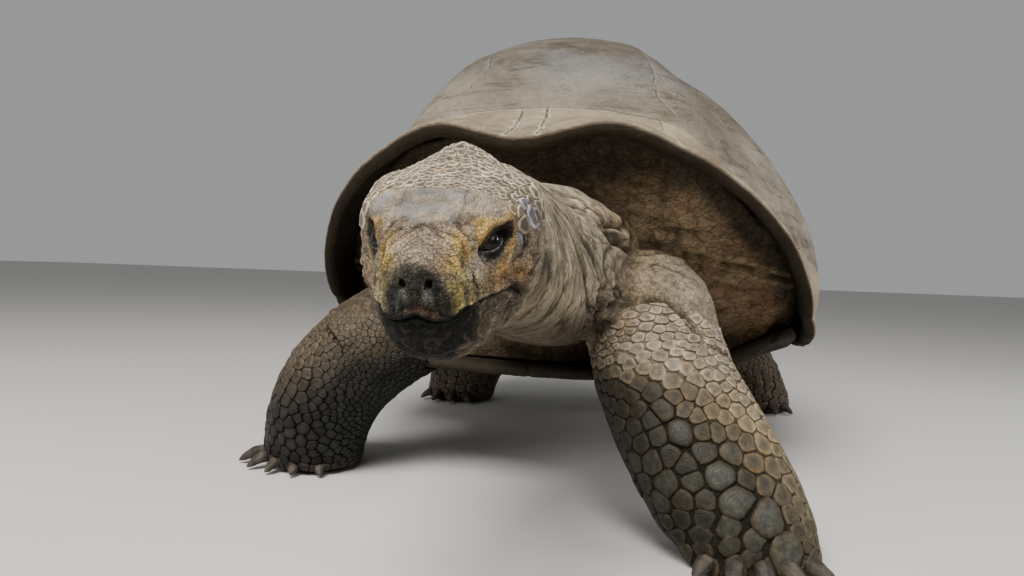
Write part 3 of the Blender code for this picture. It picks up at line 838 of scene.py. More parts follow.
def faceMiddles(mesh):
    out = np.empty(len(mesh.polygons) * 3, dtype=np.float32)
    mesh.polygons.foreach_get("center", out)
    return out.reshape(-1, 3).astype(float)


def neighbourLow(values, edges):
    # A point stays chosen only while all its neighbours are.
    out = values.copy()
    np.logical_and.at(out, edges[:, 0], values[edges[:, 1]])
    np.logical_and.at(out, edges[:, 1], values[edges[:, 0]])
    return out


def makeBaseSkin():
    # One closed skin round all the flesh, fine on the head, and cut off where the shell hides it.
    form = skinForm
    parts = [looseCopy(n, form["swell"]) for n in fleshNodes + ("eye_left", "eye_right")]
    mesh = applied(joined(parts), "REMESH", mode="VOXEL", voxel_size=form["voxel"])
    points, edges = placesOf(mesh), edgesOf(mesh)
    trunk, shellInside = surfaceOf("trunk"), surfaceOf("carapace")
    hidden = np.array([shellInside.find_nearest(p)[3] < 0.007 and trunk.find_nearest(p)[3] < 0.003
                       for p in points])
    for _ in range(5):
        hidden = neighbourLow(hidden, edges)
    with opened(mesh) as bm:
        bm.verts.ensure_lookup_table()
        bmesh.ops.delete(bm, geom=[bm.verts[int(k)] for k in np.flatnonzero(hidden)], context="VERTS")
        bmesh.ops.holes_fill(bm, edges=[e for e in bm.edges if e.is_boundary], sides=0)
        bmesh.ops.triangulate(bm, faces=[f for f in bm.faces if len(f.verts) > 4])
    print("skin: first form", len(mesh.vertices))

    points, edges = placesOf(mesh), edgesOf(mesh)
    setPlaces(mesh, relax(points, edges, 16, smooth(lengths(points - skullMid), 0.1, 0.16)))
    surfaces = [surfaceOf(n) for n in fleshNodes]
    points = placesOf(mesh)
    far = np.stack([[tree.find_nearest(p)[3] for p in points] for tree in surfaces], axis=1)
    share = np.exp(-(far - far.min(axis=1, keepdims=True)) / 0.009)
    share /= share.sum(axis=1, keepdims=True)
    for k, name in enumerate(fleshNodes):
        writeValues(mesh, "on_" + name, share[:, k])

    for reach in form["headLevels"]:
        middles = faceMiddles(mesh)
        local = inHead(middles)
        chosen = lengths(middles - skullMid) < reach
        if reach < 0.1:
            chosen = (lengths(local - [0.02, 0, -0.02]) < reach) & (local[:, 0] > -0.035)
        else:
            chosen |= ((local[:, 0] > form["neckFine"]) & (abs(local[:, 1]) < 0.14) & (local[:, 2] > -0.25)
                       & (middles[:, 1] < -0.4 + shellMid[1]))
        with opened(mesh) as bm:
            bm.faces.ensure_lookup_table()
            cuts = {e for k in np.flatnonzero(chosen) for e in bm.faces[int(k)].edges}
            bmesh.ops.subdivide_edges(bm, edges=list(cuts), cuts=1, use_grid_fill=True)
    points, edges = placesOf(mesh), edgesOf(mesh)
    onHead = readValues(mesh, "on_head") + readValues(mesh, "on_lower_jaw")
    parts = [looseCopy(n, form["swell"]) for n in ("head", "lower_jaw", "eye_left", "eye_right")]
    skull = surfaceTree(joined(parts))
    for k in np.flatnonzero(onHead > 0.9):
        place, _, _, gap = skull.find_nearest(points[k])
        if gap < 0.004:
            points[k] = place
    points = relax(points, edges, 4, smooth(onHead, 0.5, 0.9))
    setPlaces(mesh, points)
    mesh = applied(mesh, "SUBSURF", levels=1, render_levels=1)
    print("skin: fine form", len(mesh.vertices))
    return mesh


# ---- eyes' openings, in the frame of the head with the right side folded over ----
slitForm = {"gaze": (0.42, 0.88, 0.2), "inner": (0.031, 0.036, 0.002), "outer": (-0.006, 0.057, 0.017),
            "half": 0.014, "above": 0.0056, "below": 0.0044, "lid": 0.0016, "behind": 0.0026}


def slitFrame():
    gaze = unit(np.array(slitForm["gaze"]))
    run = np.array(slitForm["outer"]) - np.array(slitForm["inner"])
    run = unit(run - gaze * (run @ gaze))
    rise = np.cross(run, gaze)
    return gaze, run, rise * np.sign(rise[2])


def foldedHead(h):
    # The right side laid over the left.
    return columns(h[:, 0], abs(h[:, 1]), h[:, 2])


def slitPlace(h):
    # Place from the eyeball's middle: along the slit, across it, outward; and the distance outside the slit.
    gaze, run, rise = slitFrame()
    folded = foldedHead(h) - eyePlace
    x, y, z = folded @ run, folded @ rise, folded @ gaze
    share = held(1 - (x / slitForm["half"]) ** 2)
    top, low = slitForm["above"] * share, -slitForm["below"] * share ** 0.8
    off = np.maximum(y - top, low - y)
    off = np.where(abs(x) > slitForm["half"], np.hypot(abs(x) - slitForm["half"], np.maximum(off, 0)), off)
    return x, y, z, off, top, low


def openEyes(points):
    # Lids lie on the eyeball, the slit's inside goes behind it, and the edge between is sharp.
    form = slitForm
    gaze, run, rise = slitFrame()
    h = inHead(points)
    x, y, z, off, top, low = slitPlace(h)
    far = np.sqrt(x * x + y * y + z * z)
    near = (far < 0.034) & (z > 0.001)
    edge = near & (abs(off) < 0.00055) & (abs(x) < form["half"])
    y = np.where(edge, np.where(abs(y - top) < abs(y - low), top, low), y)
    inside = near & (off < -0.00055) | (near & (off < 0) & ~edge)
    rim = bell(off - 0.0009, 0.0009) * 0.0007
    lids = eyeRadius + form["lid"] + rim
    target = mix(lids, np.maximum(far, lids), smooth(off, 0.0015, 0.0075))
    z0 = np.sqrt(np.maximum(target ** 2 - x * x - y * y, 0.00002))
    z = np.where(near & ~inside, z0, z)
    deep = eyeRadius - form["behind"]
    z = np.where(inside, np.sqrt(np.maximum(deep ** 2 - x * x - y * y, 0.00001)), z)
    side = np.where(h[:, 1] < 0, -1.0, 1.0)
    folded = eyePlace + x[:, None] * run + y[:, None] * rise + z[:, None] * gaze
    folded[:, 1] *= side
    moved = headMid + folded @ np.stack([headForward, headLeft, headUp])
    return np.where(near[:, None], moved, points)


# ---- relief of the skin ----
headForm = {
    "mouthRun": (-0.028, -0.014, 0.000, 0.028, 0.047, 0.058, 0.085),
    "mouthRise": (-0.05, -0.039, -0.0352, -0.0342, -0.0365, -0.0415, -0.0415), "notch": 0.0042,
    # Creases in side view, forward and up: the mouth's corner, under the cheek, and behind the head
    "corner": ((0.002, -0.0352), (-0.003, -0.036), (-0.013, -0.0422), (-0.0215, -0.05), (-0.0235, -0.06),
               (-0.021, -0.071)),
    "cheek": ((-0.018, -0.03), (-0.03, -0.0275), (-0.04, -0.022), (-0.05, -0.015)),
    "nape": ((-0.112, 0.048), (-0.098, 0.03), (-0.08, 0.005), (-0.068, -0.025), (-0.06, -0.05),
             (-0.042, -0.076)),
    "notchDown": ((0.0375, -0.013), (0.0365, -0.023), (0.035, -0.0345)),
    "nostril": (0.009, -0.014), "nostrilSize": (0.0027, 0.0033), "nostrilDeep": 0.006,
    "shieldRear": -0.005, "shieldFront": 0.0335, "shieldHalf": 0.054, "plateHalf": 0.024,
}
# Folds of the neck and trunk on the left, from the shell's middle; the right side is folded over.
foldForm = {
    "throatCrease": ((0.092, -0.735, 0.44), (0.103, -0.715, 0.422), (0.117, -0.715, 0.399),
                     (0.13, -0.646, 0.383), (0.142, -0.556, 0.373), (0.147, -0.54, 0.358),
                     (0.151, -0.56, 0.343)),
    "shoulderFolds": (((0.118, -0.69, 0.398), (0.14, -0.5, 0.408), (0.172, -0.443, 0.42),
                       (0.23, -0.41, 0.425)),
                      ((0.172, -0.44, 0.412), (0.208, -0.417, 0.409), (0.26, -0.395, 0.402)),
                      ((0.142, -0.543, 0.379), (0.165, -0.43, 0.382), (0.199, -0.399, 0.379),
                       (0.24, -0.362, 0.369), (0.319, -0.309, 0.353), (0.4, -0.26, 0.337)),
                      ((0.147, -0.53, 0.368), (0.184, -0.48, 0.364), (0.225, -0.362, 0.356),
                       (0.3, -0.3, 0.343))),
    "leftCrease": ((0.105, -0.56, 0.225), (0.109, -0.591, 0.258), (0.121, -0.59, 0.285),
                   (0.145, -0.592, 0.302), (0.174, -0.591, 0.308), (0.202, -0.591, 0.304),
                   (0.228, -0.594, 0.281), (0.25, -0.585, 0.25), (0.262, -0.54, 0.225)),
    "rightCrease": ((-0.345, -0.47, 0.262), (-0.326, -0.505, 0.244), (-0.302, -0.524, 0.229),
                    (-0.282, -0.531, 0.205)),
    "fan": (-0.945, 0.435),
}


def mouthHeight(h):
    line = np.interp(h[:, 0], headForm["mouthRun"], headForm["mouthRise"])
    return line + headForm["notch"] * bell(h[:, 1], 0.008) * smooth(h[:, 0], 0.045, 0.058)


def folds(points, size, seed):
    # Round ridges with sharp valleys: the height from -0.55 up, and a share that is 1 in the valleys, mostly
    # laid on as painted shade.
    n = abs(noise(points, size, seed))
    return n ** 0.6 - 0.55, bell(n, 0.09)


def shieldShare(h):
    form = headForm
    m = abs(h[:, 1])
    wander = 0.0016 * noise(h, 0.012, 81)
    rear = form["shieldRear"] - 0.16 * np.maximum(m - 0.012, 0) + wander
    front = form["shieldFront"] - 0.45 * np.clip(m - 0.004, 0, 0.021)
    front = front - 1.05 * np.maximum(m - 0.025, 0) + wander
    ahead = falling(h[:, 0], front - 0.002, front + 0.002)
    aside = falling(m, form["shieldHalf"] - 0.002, form["shieldHalf"] + 0.001)
    return smooth(h[:, 0], rear - 0.0008, rear + 0.0008) * ahead * aside * smooth(h[:, 2], 0.012, 0.016)


def headRelief(points):
    h = inHead(points)
    folded = foldedHead(h)
    f, m, u = folded.T
    shield = shieldShare(h)
    # dark is painted shade in the creases, valleys and grooves, laid on the skin's colour in makeSkin.
    lift, dark = 0.0011 * shield, np.zeros(len(h))

    def wrinkle(places, size, seed, tall, deep, share):
        ridge, valley = folds(places, size, seed)
        lift[:] += tall * ridge * share
        dark[:] += deep * valley * share

    seam = bell(m - headForm["plateHalf"] - 0.002 * noise(h, 0.02, 82), 0.0008) * shield
    lift -= 0.0007 * seam
    dark += 0.5 * seam
    # Cross wrinkles over the snout
    snout = smooth(f, 0.016, 0.028) * falling(f, 0.057, 0.063) * falling(m, 0.028, 0.038)
    snout = snout * smooth(u, -0.014, -0.006) * (1 - shield)
    bend = columns(f - 0.35 * m, m, u + 0.4 * f)
    bend = bend + 0.0011 * noise(h, 0.01, 80)[:, None]
    ridge, valley = folds(bend, (0.0046, 0.034, 0.04), 83)
    ridge2, valley2 = folds(bend, (0.003, 0.016, 0.02), 84)
    lift += (0.0024 * ridge + 0.0011 * ridge2) * snout
    dark += (0.8 * valley + 0.4 * valley2) * snout
    # Brow over the slit, folds of the lower lid
    x, y, z, off, top, low = slitPlace(h)
    front = smooth(z, -0.002, 0.006)
    brow = bell(y - top - 0.0065, 0.004) * np.exp(-((x - 0.001) / 0.017) ** 4) * front
    lift += 0.003 * brow
    under = bell(y - top - 0.0022, 0.0011) * (abs(x) < 0.017) * front
    lift -= 0.001 * under
    dark += 0.9 * under
    lower = (y < low) & (abs(x) < 0.019)
    drop = np.where(lower, off, 1.0)
    for at in (0.002, 0.0042, 0.0072):
        lift -= 0.0007 * bell(drop - at, 0.0006) * front
        dark += 0.6 * bell(drop - at, 0.0006) * front
    lift += 0.0016 * bell(drop - 0.0095, 0.0035) * front
    corner = lengths(folded - np.array([0.029, 0.034, 0.001]))
    lift -= 0.0022 * bell(corner, 0.0035)
    # Mouth
    gap = u - mouthHeight(h)
    here = smooth(f, -0.01, -0.004) * smooth(m + np.maximum(f - 0.05, 0) * 4, 0.005, 0.02)
    here = here * (abs(gap) < 0.03)
    wave = 0.0007 * noise(h, 0.009, 85)
    lift += here * (0.0012 * bell(gap - 0.003, 0.003) - 0.003 * bell(gap - wave, 0.0011)
                    - 0.0013 * bell(gap + 0.0045, 0.004))
    dark += here * bell(gap - wave, 0.0013)
    for name, wide, deep in (("cheek", 0.0017, 0.0036), ("notchDown", 0.0012, 0.0026)):
        far, along = alongLine(folded[:, [0, 2]], curveThrough(headForm[name], 5))
        fade = smooth(along, -0.02, 0.05) * falling(along, 0.85, 1.0) * (m > 0.026)
        lift += (-deep * bell(far, wide) + 0.45 * deep * bell(far - 2.6 * wide, 1.8 * wide)) * fade
        dark += 0.95 * bell(far, wide) * fade
    # Cheek lumps and small folds behind the mouth's corner
    near = np.where(h[:, 1] > 0, 1.0, 0.3)
    cheek = np.minimum(1.5 * bump(folded, (-0.018, 0.068, -0.012), (0.024, 0.03, 0.018)), 1) * near
    wrinkle(folded, 0.01, 86, 0.0036, 0.7, cheek)
    lift += 0.0085 * bump(folded, (-0.07, 0.06, 0.024), (0.024, 0.017, 0.018))
    # A net of small folds over the whole face
    plated = smooth(-f, 0.002, 0.012) * smooth(u, 0.002, 0.012)
    net = (1 - shield) * (1 - snout) * (1 - plated) * smooth(off, 0.004, 0.009)
    ridge, valley = folds(folded, 0.0068, 92)
    ridge2, valley2 = folds(folded, 0.0038, 93)
    lift += (0.0015 * ridge + 0.0008 * ridge2) * net
    dark += (0.5 * valley + 0.32 * valley2) * net
    jowl = bump(folded, (-0.036, 0.066, -0.052), (0.026, 0.04, 0.026))
    arcs = columns(np.hypot(f + 0.004, u + 0.03), m * 0.3, 0 * m)
    wrinkle(arcs, (0.0052, 0.02, 0.02), 87, 0.0026, 0.7, jowl)
    # Fine cracks of the lower jaw, ridges down the upper lip
    jaw = smooth(-gap, 0.002, 0.006) * smooth(f, -0.02, 0.0)
    lift += 0.0006 * folds(folded, 0.0085, 88)[0] * jaw
    lip = smooth(gap, 0.001, 0.004) * falling(gap, 0.018, 0.026) * smooth(f, 0.012, 0.022)
    wrinkle(columns(f, m, u * 0.22), (0.0042, 0.0042, 0.004), 89, 0.0009, 0.45, lip)
    lift += (0.0006 * noise(h, 0.006, 90) * (1 - plated) + 0.001 * noise(h, 0.018, 91)) * (1 - 0.6 * shield)
    return lift, held(dark)


def bodyFolded(points):
    # From the shell's middle; the right side is laid over the left, the neck about its own middle.
    q = points - shellMid
    mid = 0.038 * smooth(-q[:, 1], 0.3, 0.6)
    side = np.where(q[:, 0] < mid, -1.0, 1.0)
    return columns(mid + side * (q[:, 0] - mid), q[:, 1], q[:, 2]), side


def neckRelief(points):
    # Loose skin hanging in lines that fan out from behind the head's upper rear corner.
    q, side = bodyFolded(points)
    h = inHead(points)
    dy, dz = q[:, 1] - foldForm["fan"][0], foldForm["fan"][1] - q[:, 2]
    reach, turn = np.hypot(dy, dz), np.arctan2(dz, dy)
    fan = columns(turn, reach, q[:, 0] * 0.6 + side * 0.7)
    fan[:, 0] += 0.035 * noise(q, 0.05, 101)
    ridge, valley = folds(fan, (0.1, 0.18, 0.3), 102)
    ridge2, valley2 = folds(fan, (0.046, 0.085, 0.3), 103)
    out = smooth(abs(q[:, 0] - 0.038), 0.02, 0.06)
    deep = mix(0.0034, 0.0085, smooth(reach, 0.05, 0.24)) * out
    lift = deep * ridge + 0.4 * deep * ridge2
    # dark: painted shade in the valleys of the folds.
    dark = (0.95 * valley + 0.5 * valley2) * out * smooth(reach, 0.03, 0.07)
    # Cross folds on top and under the throat
    cross = 1 - out
    ridge, valley = folds(q, (0.06, 0.013, 0.03), 104)
    lift += 0.0026 * ridge * cross
    dark += 0.6 * valley * cross
    return lift, held(dark) * smooth(-h[:, 0], 0.07, 0.095)


def trunkRelief(points):
    q, side = bodyFolded(points)
    shift = q + side[:, None] * [0, 0, 5.0]
    lift = 0.0045 * fractal(shift, (0.12, 0.12, 0.05), 2, 111)
    ridge, valley = folds(shift, (0.12, 0.12, 0.034), 112)
    lift += 0.0048 * ridge * (0.45 + 0.55 * smooth(abs(q[:, 1]), 0.1, 0.3))
    # dark: painted shade in the valleys of the folds.
    dark = 0.55 * valley
    ridge, valley = folds(shift, (0.045, 0.045, 0.016), 113)
    lift += 0.0014 * ridge
    dark += 0.22 * valley
    return lift, held(dark)


def pocketShare(q):
    # The wrinkled pocket between the neck and the left foreleg.
    return np.minimum(1.6 * bump(q, (0.118, -0.625, 0.3), (0.03, 0.085, 0.046)), 1)


def creaseAlong(q, line, wide, deep, lipUp, lipDown):
    # A crease along a line, with a swollen lip above it and below it; the second value is painted shade in the
    # crease.
    path = curveThrough(line, 5)
    far, along = alongLine(q, path)
    k = np.clip((along * (len(path) - 1)).astype(int), 0, len(path) - 2)
    above = np.sign(q[:, 2] - path[k][:, 2] - (along * (len(path) - 1) - k) * (path[k + 1] - path[k])[:, 2])
    fade = smooth(along, 0.0, 0.08) * falling(along, 0.92, 1.0)
    lips = np.where(above > 0, lipUp, lipDown) * bell(far - 3.0 * wide, 2.2 * wide)
    return (-deep * bell(far, wide) + lips) * fade, bell(far, 0.9 * wide) * fade


def skinRelief(points, shares):
    # lift raises the skin; dark is painted shade in creases and valleys, laid on the colour in makeSkin.
    lift, dark = np.zeros(len(points)), np.zeros(len(points))

    def lay(chosen, share, up, low):
        lift[chosen] += up * share
        dark[chosen] = np.maximum(dark[chosen], low * share)

    face = shares["head"] + shares["lower_jaw"]
    nape = 0.5 * face * smooth(-inHead(points)[:, 0], 0.075, 0.10)
    for share, relief in ((face, headRelief), (shares["neck"] + nape, neckRelief),
                          (shares["trunk"], trunkRelief)):
        chosen = np.flatnonzero(share > 0.02)
        lay(chosen, share[chosen], *relief(points[chosen]))
    h = inHead(points)
    behind = (h[:, 0] < 0.006) & (h[:, 0] > -0.135)
    chosen = np.flatnonzero(behind & (abs(h[:, 1]) > 0.035) & (abs(h[:, 2]) < 0.09))
    part = h[chosen]
    offTrunk = 1 - np.maximum(shares["trunk"][chosen], 0)
    for name, wide, deep, waver in (("nape", 0.0034, 0.01, 0.002), ("corner", 0.0023, 0.0075, 0.0006)):
        wavy = part[:, [0, 2]] + waver * noise(part, 0.012, 94)[:, None]
        far, along = alongLine(wavy, curveThrough(headForm[name], 5))
        fade = smooth(along, -0.02, 0.08) * falling(along, 0.8, 1.0) * offTrunk
        lay(chosen, fade, deep * (0.28 * bell(far - 2.6 * wide, 1.5 * wide) - bell(far, wide)),
            0.97 * bell(far, 1.6 * wide))
    print("skin: head, neck and trunk in relief")

    # Folds of the neck's root and the trunk's front; low is their painted shade
    q = bodyFolded(points)[0]
    body = (1 - shares["head"] - shares["lower_jaw"]) * (1 - shares["hindleg_left"] - shares["hindleg_right"]
                                                         - shares["tail"])
    chosen = np.flatnonzero((body > 0.3) & (q[:, 1] < -0.20) & (q[:, 2] > 0.15))
    part = q[chosen]
    part = part + columns(0 * part[:, 0], 0.01 * noise(part, 0.07, 121), 0.006 * noise(part, 0.05, 122))
    up, low = creaseAlong(part, foldForm["throatCrease"], 0.0055, 0.011, 0.0035, 0.003)
    for line in foldForm["shoulderFolds"]:
        more, shade = creaseAlong(part, line, 0.0052, 0.0105, 0.005, 0.005)
        up, low = up + more, np.maximum(low, shade)
    ridge, valley = folds(part, (0.018, 0.04, 0.013), 123)
    pocket = pocketShare(part)
    up += 0.011 * ridge * pocket
    low = np.maximum(low, 0.97 * valley ** 0.7 * pocket)
    loose = bump(part, (0.19, -0.5, 0.35), (0.1, 0.1, 0.022))
    ridge, valley = folds(part, (0.05, 0.05, 0.0095), 124)
    up += 0.0055 * ridge * loose
    low = np.maximum(low, 0.95 * valley * loose)
    lay(chosen, body[chosen], up, low)

    # Creases at the elbows, folds of the legs and the tail, with painted shade in them
    own = points - shellMid
    for name, line, wide in (("foreleg_left", "leftCrease", 0.0042),
                             ("foreleg_right", "rightCrease", 0.0032)):
        chosen = np.flatnonzero(shares[name] > 0.05)
        part = own[chosen] + 0.0025 * noise(own[chosen], 0.03, 125)[:, None]
        lay(chosen, shares[name][chosen], *creaseAlong(part, foldForm[line], wide, 0.009, 0.005, -0.0006))
    legs = shares["hindleg_left"] + shares["hindleg_right"] + shares["tail"]
    chosen = np.flatnonzero(legs > 0.05)
    ridge, valley = folds(own[chosen], (0.05, 0.05, 0.015), 126)
    lay(chosen, legs[chosen], 0.003 * ridge, 0.7 * valley)
    allLegs = legs + shares["foreleg_left"] + shares["foreleg_right"]
    chosen = np.flatnonzero(allLegs > 0.05)
    lift[chosen] += 0.0007 * folds(own[chosen], 0.012, 127)[0] * allLegs[chosen]
    return lift, held(dark)


# ---- markings of the skin and the scales ----
hideTones = {
    "hide": (0.15, 0.118, 0.08), "pale": (0.29, 0.245, 0.18),
    "rust": (0.12, 0.072, 0.04), "brown": (0.07, 0.05, 0.032), "taupe": (0.225, 0.185, 0.14),
    "ochre": (0.42, 0.275, 0.085), "orange": (0.35, 0.175, 0.05), "slate": (0.05, 0.051, 0.043),
    "steel": (0.262, 0.262, 0.252), "black": (0.004, 0.004, 0.0045), "moss": (0.013, 0.0145, 0.0085),
    "red": (0.17, 0.08, 0.045), "sand": (0.3, 0.225, 0.135), "violet": (0.27, 0.265, 0.3),
    "lemon": (0.275, 0.215, 0.065), "shade": (0.018, 0.016, 0.011),
}


def brushFor(tone):
    # Lays a named tone over these values by its share; the strength makes it darker or lighter.
    def paint(share, name, strength=1.0):
        aim = np.array(hideTones[name]) * np.reshape(strength, (-1, 1))
        tone[:] += (aim - tone) * held(share)[:, None]
    return paint


def headTone(points):
    h = inHead(points)
    folded = foldedHead(h)
    f, m, u = folded.T
    wide, mid, fine = fractal(h, 0.03, 3, 201), fractal(h, 0.012, 2, 202), noise(h, 0.0035, 203)
    tone = np.tile(hideTones["taupe"], (len(h), 1))
    paint = brushFor(tone)
    paint(smooth(wide + 0.3 * fine, 0.0, 0.6) * 0.6, "pale")
    paint(smooth(-mid, 0.15, 0.6) * 0.5, "hide")
    tone *= 1.22
    crest = smooth(u, 0.02, 0.034) * smooth(-f, 0.0, 0.02)
    paint(crest * (0.6 + 0.3 * mid), "pale", 1.2)
    snout = smooth(f, 0.018, 0.03) * falling(m, 0.026, 0.036) * smooth(u, -0.014, 0.0)
    paint(snout * (0.16 + 0.3 * wide), "red", 1.3)
    # Ochre and orange round the eye and streaming down to the mouth
    x, y, z, off, top, low = slitPlace(h)
    front = smooth(z, -0.01, 0.004)
    streak = noise(columns(f, m, u * 0.25), 0.0032, 204)
    grit = 0.55 * mid + 0.5 * fine
    along = 0.66 * (m - 0.044) - 0.75 * (f - 0.004)
    above = (smooth(0.026 - u, -0.002, 0.003) * smooth(y - top, -0.001, 0.002) * smooth(m, 0.021, 0.027)
             * falling(abs(along), 0.017, 0.023) * (1 - shieldShare(h)))
    paint(above * (0.8 + grit), "ochre")
    paint(above * smooth(-grit, 0.2, 0.6) * 0.5, "rust", 1.2)

    def strip(line, wide):
        return bell(alongLine(folded, np.array(line) / 1000)[0], wide)

    near = np.where(h[:, 1] > 0, 1.0, 0.45)
    cheek = strip(((9, 49, -18), (0, 57, -25), (-18, 68, -27)), 0.0085) * near
    paint(cheek * (0.75 + grit), "orange")
    paint(strip(((14, 50, -26), (0, 58, -33), (-12, 66, -36)), 0.006) * near * 0.85, "rust", 0.9)
    lumps = folds(folded, 0.01, 86)[0]
    lumpy = np.minimum(1.5 * bump(folded, (-0.02, 0.067, -0.01), (0.02, 0.03, 0.017)), 1)
    paint(lumpy * 0.6, "hide", 1.1)
    # Painted highlight on the tops of the cheek lumps.
    paint(lumpy * smooth(lumps, 0.05, 0.4) * 0.65, "sand")
    rim = strip(((-8, 58, 17), (-11, 59, 11), (-8, 58, 0), (-1, 54, -10), (9, 49, -18)), 0.0036)
    paint(rim * (0.95 + 0.6 * fine), "ochre", 1.12)
    inner = bump(folded, (0.036, 0.027, 0.011), 0.0075)
    inner = np.maximum(inner, bump(folded, (0.035, 0.032, 0.003), 0.006))
    paint(inner * (1.1 + grit), "ochre", 0.95)
    stream, share = alongLine(folded, ((0.042, 0.029, 0.003), (0.05, 0.025, -0.006), (0.051, 0.028, -0.018),
                                       (0.048, 0.031, -0.031)))
    stream = bell(stream, mix(0.007, 0.0125, share)) * np.where(h[:, 1] > 0, 1.0, mix(0.9, 0.45, share))
    paint(stream * (0.8 + 0.9 * streak + 0.5 * mid), "lemon", 1.45)
    paint(bell(share - 0.25, 0.14) * stream * (0.9 + grit), "ochre", 1.05)
    paint(stream * smooth(-streak, 0.1, 0.5) * 0.7, "moss", 3.0)
    low2 = bump(folded, (0.022, 0.047, -0.024), (0.014, 0.02, 0.01))
    paint(low2 * (0.6 + 0.5 * streak), "ochre", 0.55)
    paint(low2 * smooth(-streak, 0.0, 0.5) * 0.6, "brown")
    # Shield, temple scales
    shield = shieldShare(h)
    plate = shield * falling(m, headForm["plateHalf"], headForm["plateHalf"] + 0.002)
    paint(shield * 0.75, "taupe", 0.9)
    paint(plate * (0.8 - 0.75 * smooth(fractal(h, 0.011, 2, 205), 0.05, 0.3)), "steel", 0.54)
    paint(plate * smooth(fractal(h, 0.013, 2, 208), 0.1, 0.35) * 0.6, "hide", 0.75)
    paint((shield - plate) * smooth(noise(h, 0.014, 206), 0.0, 0.4) * smooth(-f, -0.012, 0.004),
          "steel", 0.75)
    edge = shieldShare(h + [0.0022, 0, 0]) * (1 - shield)
    paint(edge * 0.8, "pale", 1.25)
    for at, size in (((-0.032, 0.067, 0.02), (0.009, 0.02, 0.012)),
                     ((-0.017, 0.065, 0.003), (0.007, 0.02, 0.009))):
        paint(smooth(bump(folded, at, size) + 0.25 * mid, 0.35, 0.65) * 0.9, "violet")
    # Dark muzzle, lips and lower jaw
    tip = 0.0245 - lengths((h - [0.066, 0, -0.027]) * [1.0, 0.9, 0.82]) + 0.0045 * mid + 0.002 * streak
    tip = smooth(tip, -0.0055, 0.0055)
    tip = np.maximum(tip, bump(folded, (0.054, 0.021, -0.012), (0.01, 0.0075, 0.009)) * (0.8 + 0.6 * mid))
    paint(tip * (0.95 + 0.05 * mid), "moss", 0.5)
    paint(tip * smooth(streak + 0.6 * fine, 0.25, 0.9) * 0.55, "slate", 1.6)
    gap = u - mouthHeight(h)
    jaw = smooth(-gap, -0.001, 0.003) * smooth(f, -0.022, -0.006)
    paint(jaw * 0.92, "hide", 0.56)
    paint(jaw * smooth(f + 0.004 * wide, 0.018, 0.042), "moss", 0.1)
    lines = folds(folded, 0.0085, 88)[1]
    paint(jaw * lines * 0.85 * (1 - 0.85 * smooth(f, 0.02, 0.05)), "pale", 0.95)
    lipDark = smooth(f, 0.05, 0.058) * bell(gap - 0.002, 0.004)
    paint(lipDark * 0.85, "black", 1.6)
    paint(bump(h, (0.0645, 0.0045, -0.0345), (0.012, 0.0095, 0.0042)) * (0.75 + 0.7 * fine), "red", 0.95)
    paint(bump(folded, (0.066, 0.008, -0.0215), (0.01, 0.0035, 0.0045)) * 0.55, "steel", 0.7)
    # Black lids, paler at the inner corner
    wander = 0.0012 * noise(h, 0.004, 207)
    lidDark = np.where(y < 0, 1 - smooth(off + wander, 0.0066, 0.01),
                       1 - smooth(off + wander, 0.0014, 0.0032)) * front
    outer = np.exp(-((x - 0.0185) / 0.0065) ** 2 - ((y - 0.0026) / 0.0044) ** 2) * 1.35 * front
    paint(np.maximum(lidDark, outer * 0.95), "black")
    # Painted highlight: pale lines along the lower lid's edge and its first fold.
    glint = bell(off - 0.0007, 0.0006) + 0.7 * bell(off - 0.0038, 0.0006)
    glint = glint * (y < low) * (abs(x + 0.003) < 0.012) * front
    paint(glint * 0.75, "steel", 1.1)
    below = bell(off - 0.0105, 0.0035) * (y < low) * bell(x + 0.006, 0.01) * front
    paint(below * 0.85, "slate", 1.5)
    paint(np.exp(-((x + 0.0155) / 0.0032) ** 2 - ((y + 0.003) / 0.0026) ** 2) * 0.95 * front, "steel", 1.35)
    return tone * (1 + 0.16 * fine + 0.12 * mid + 0.1 * wide)[:, None]


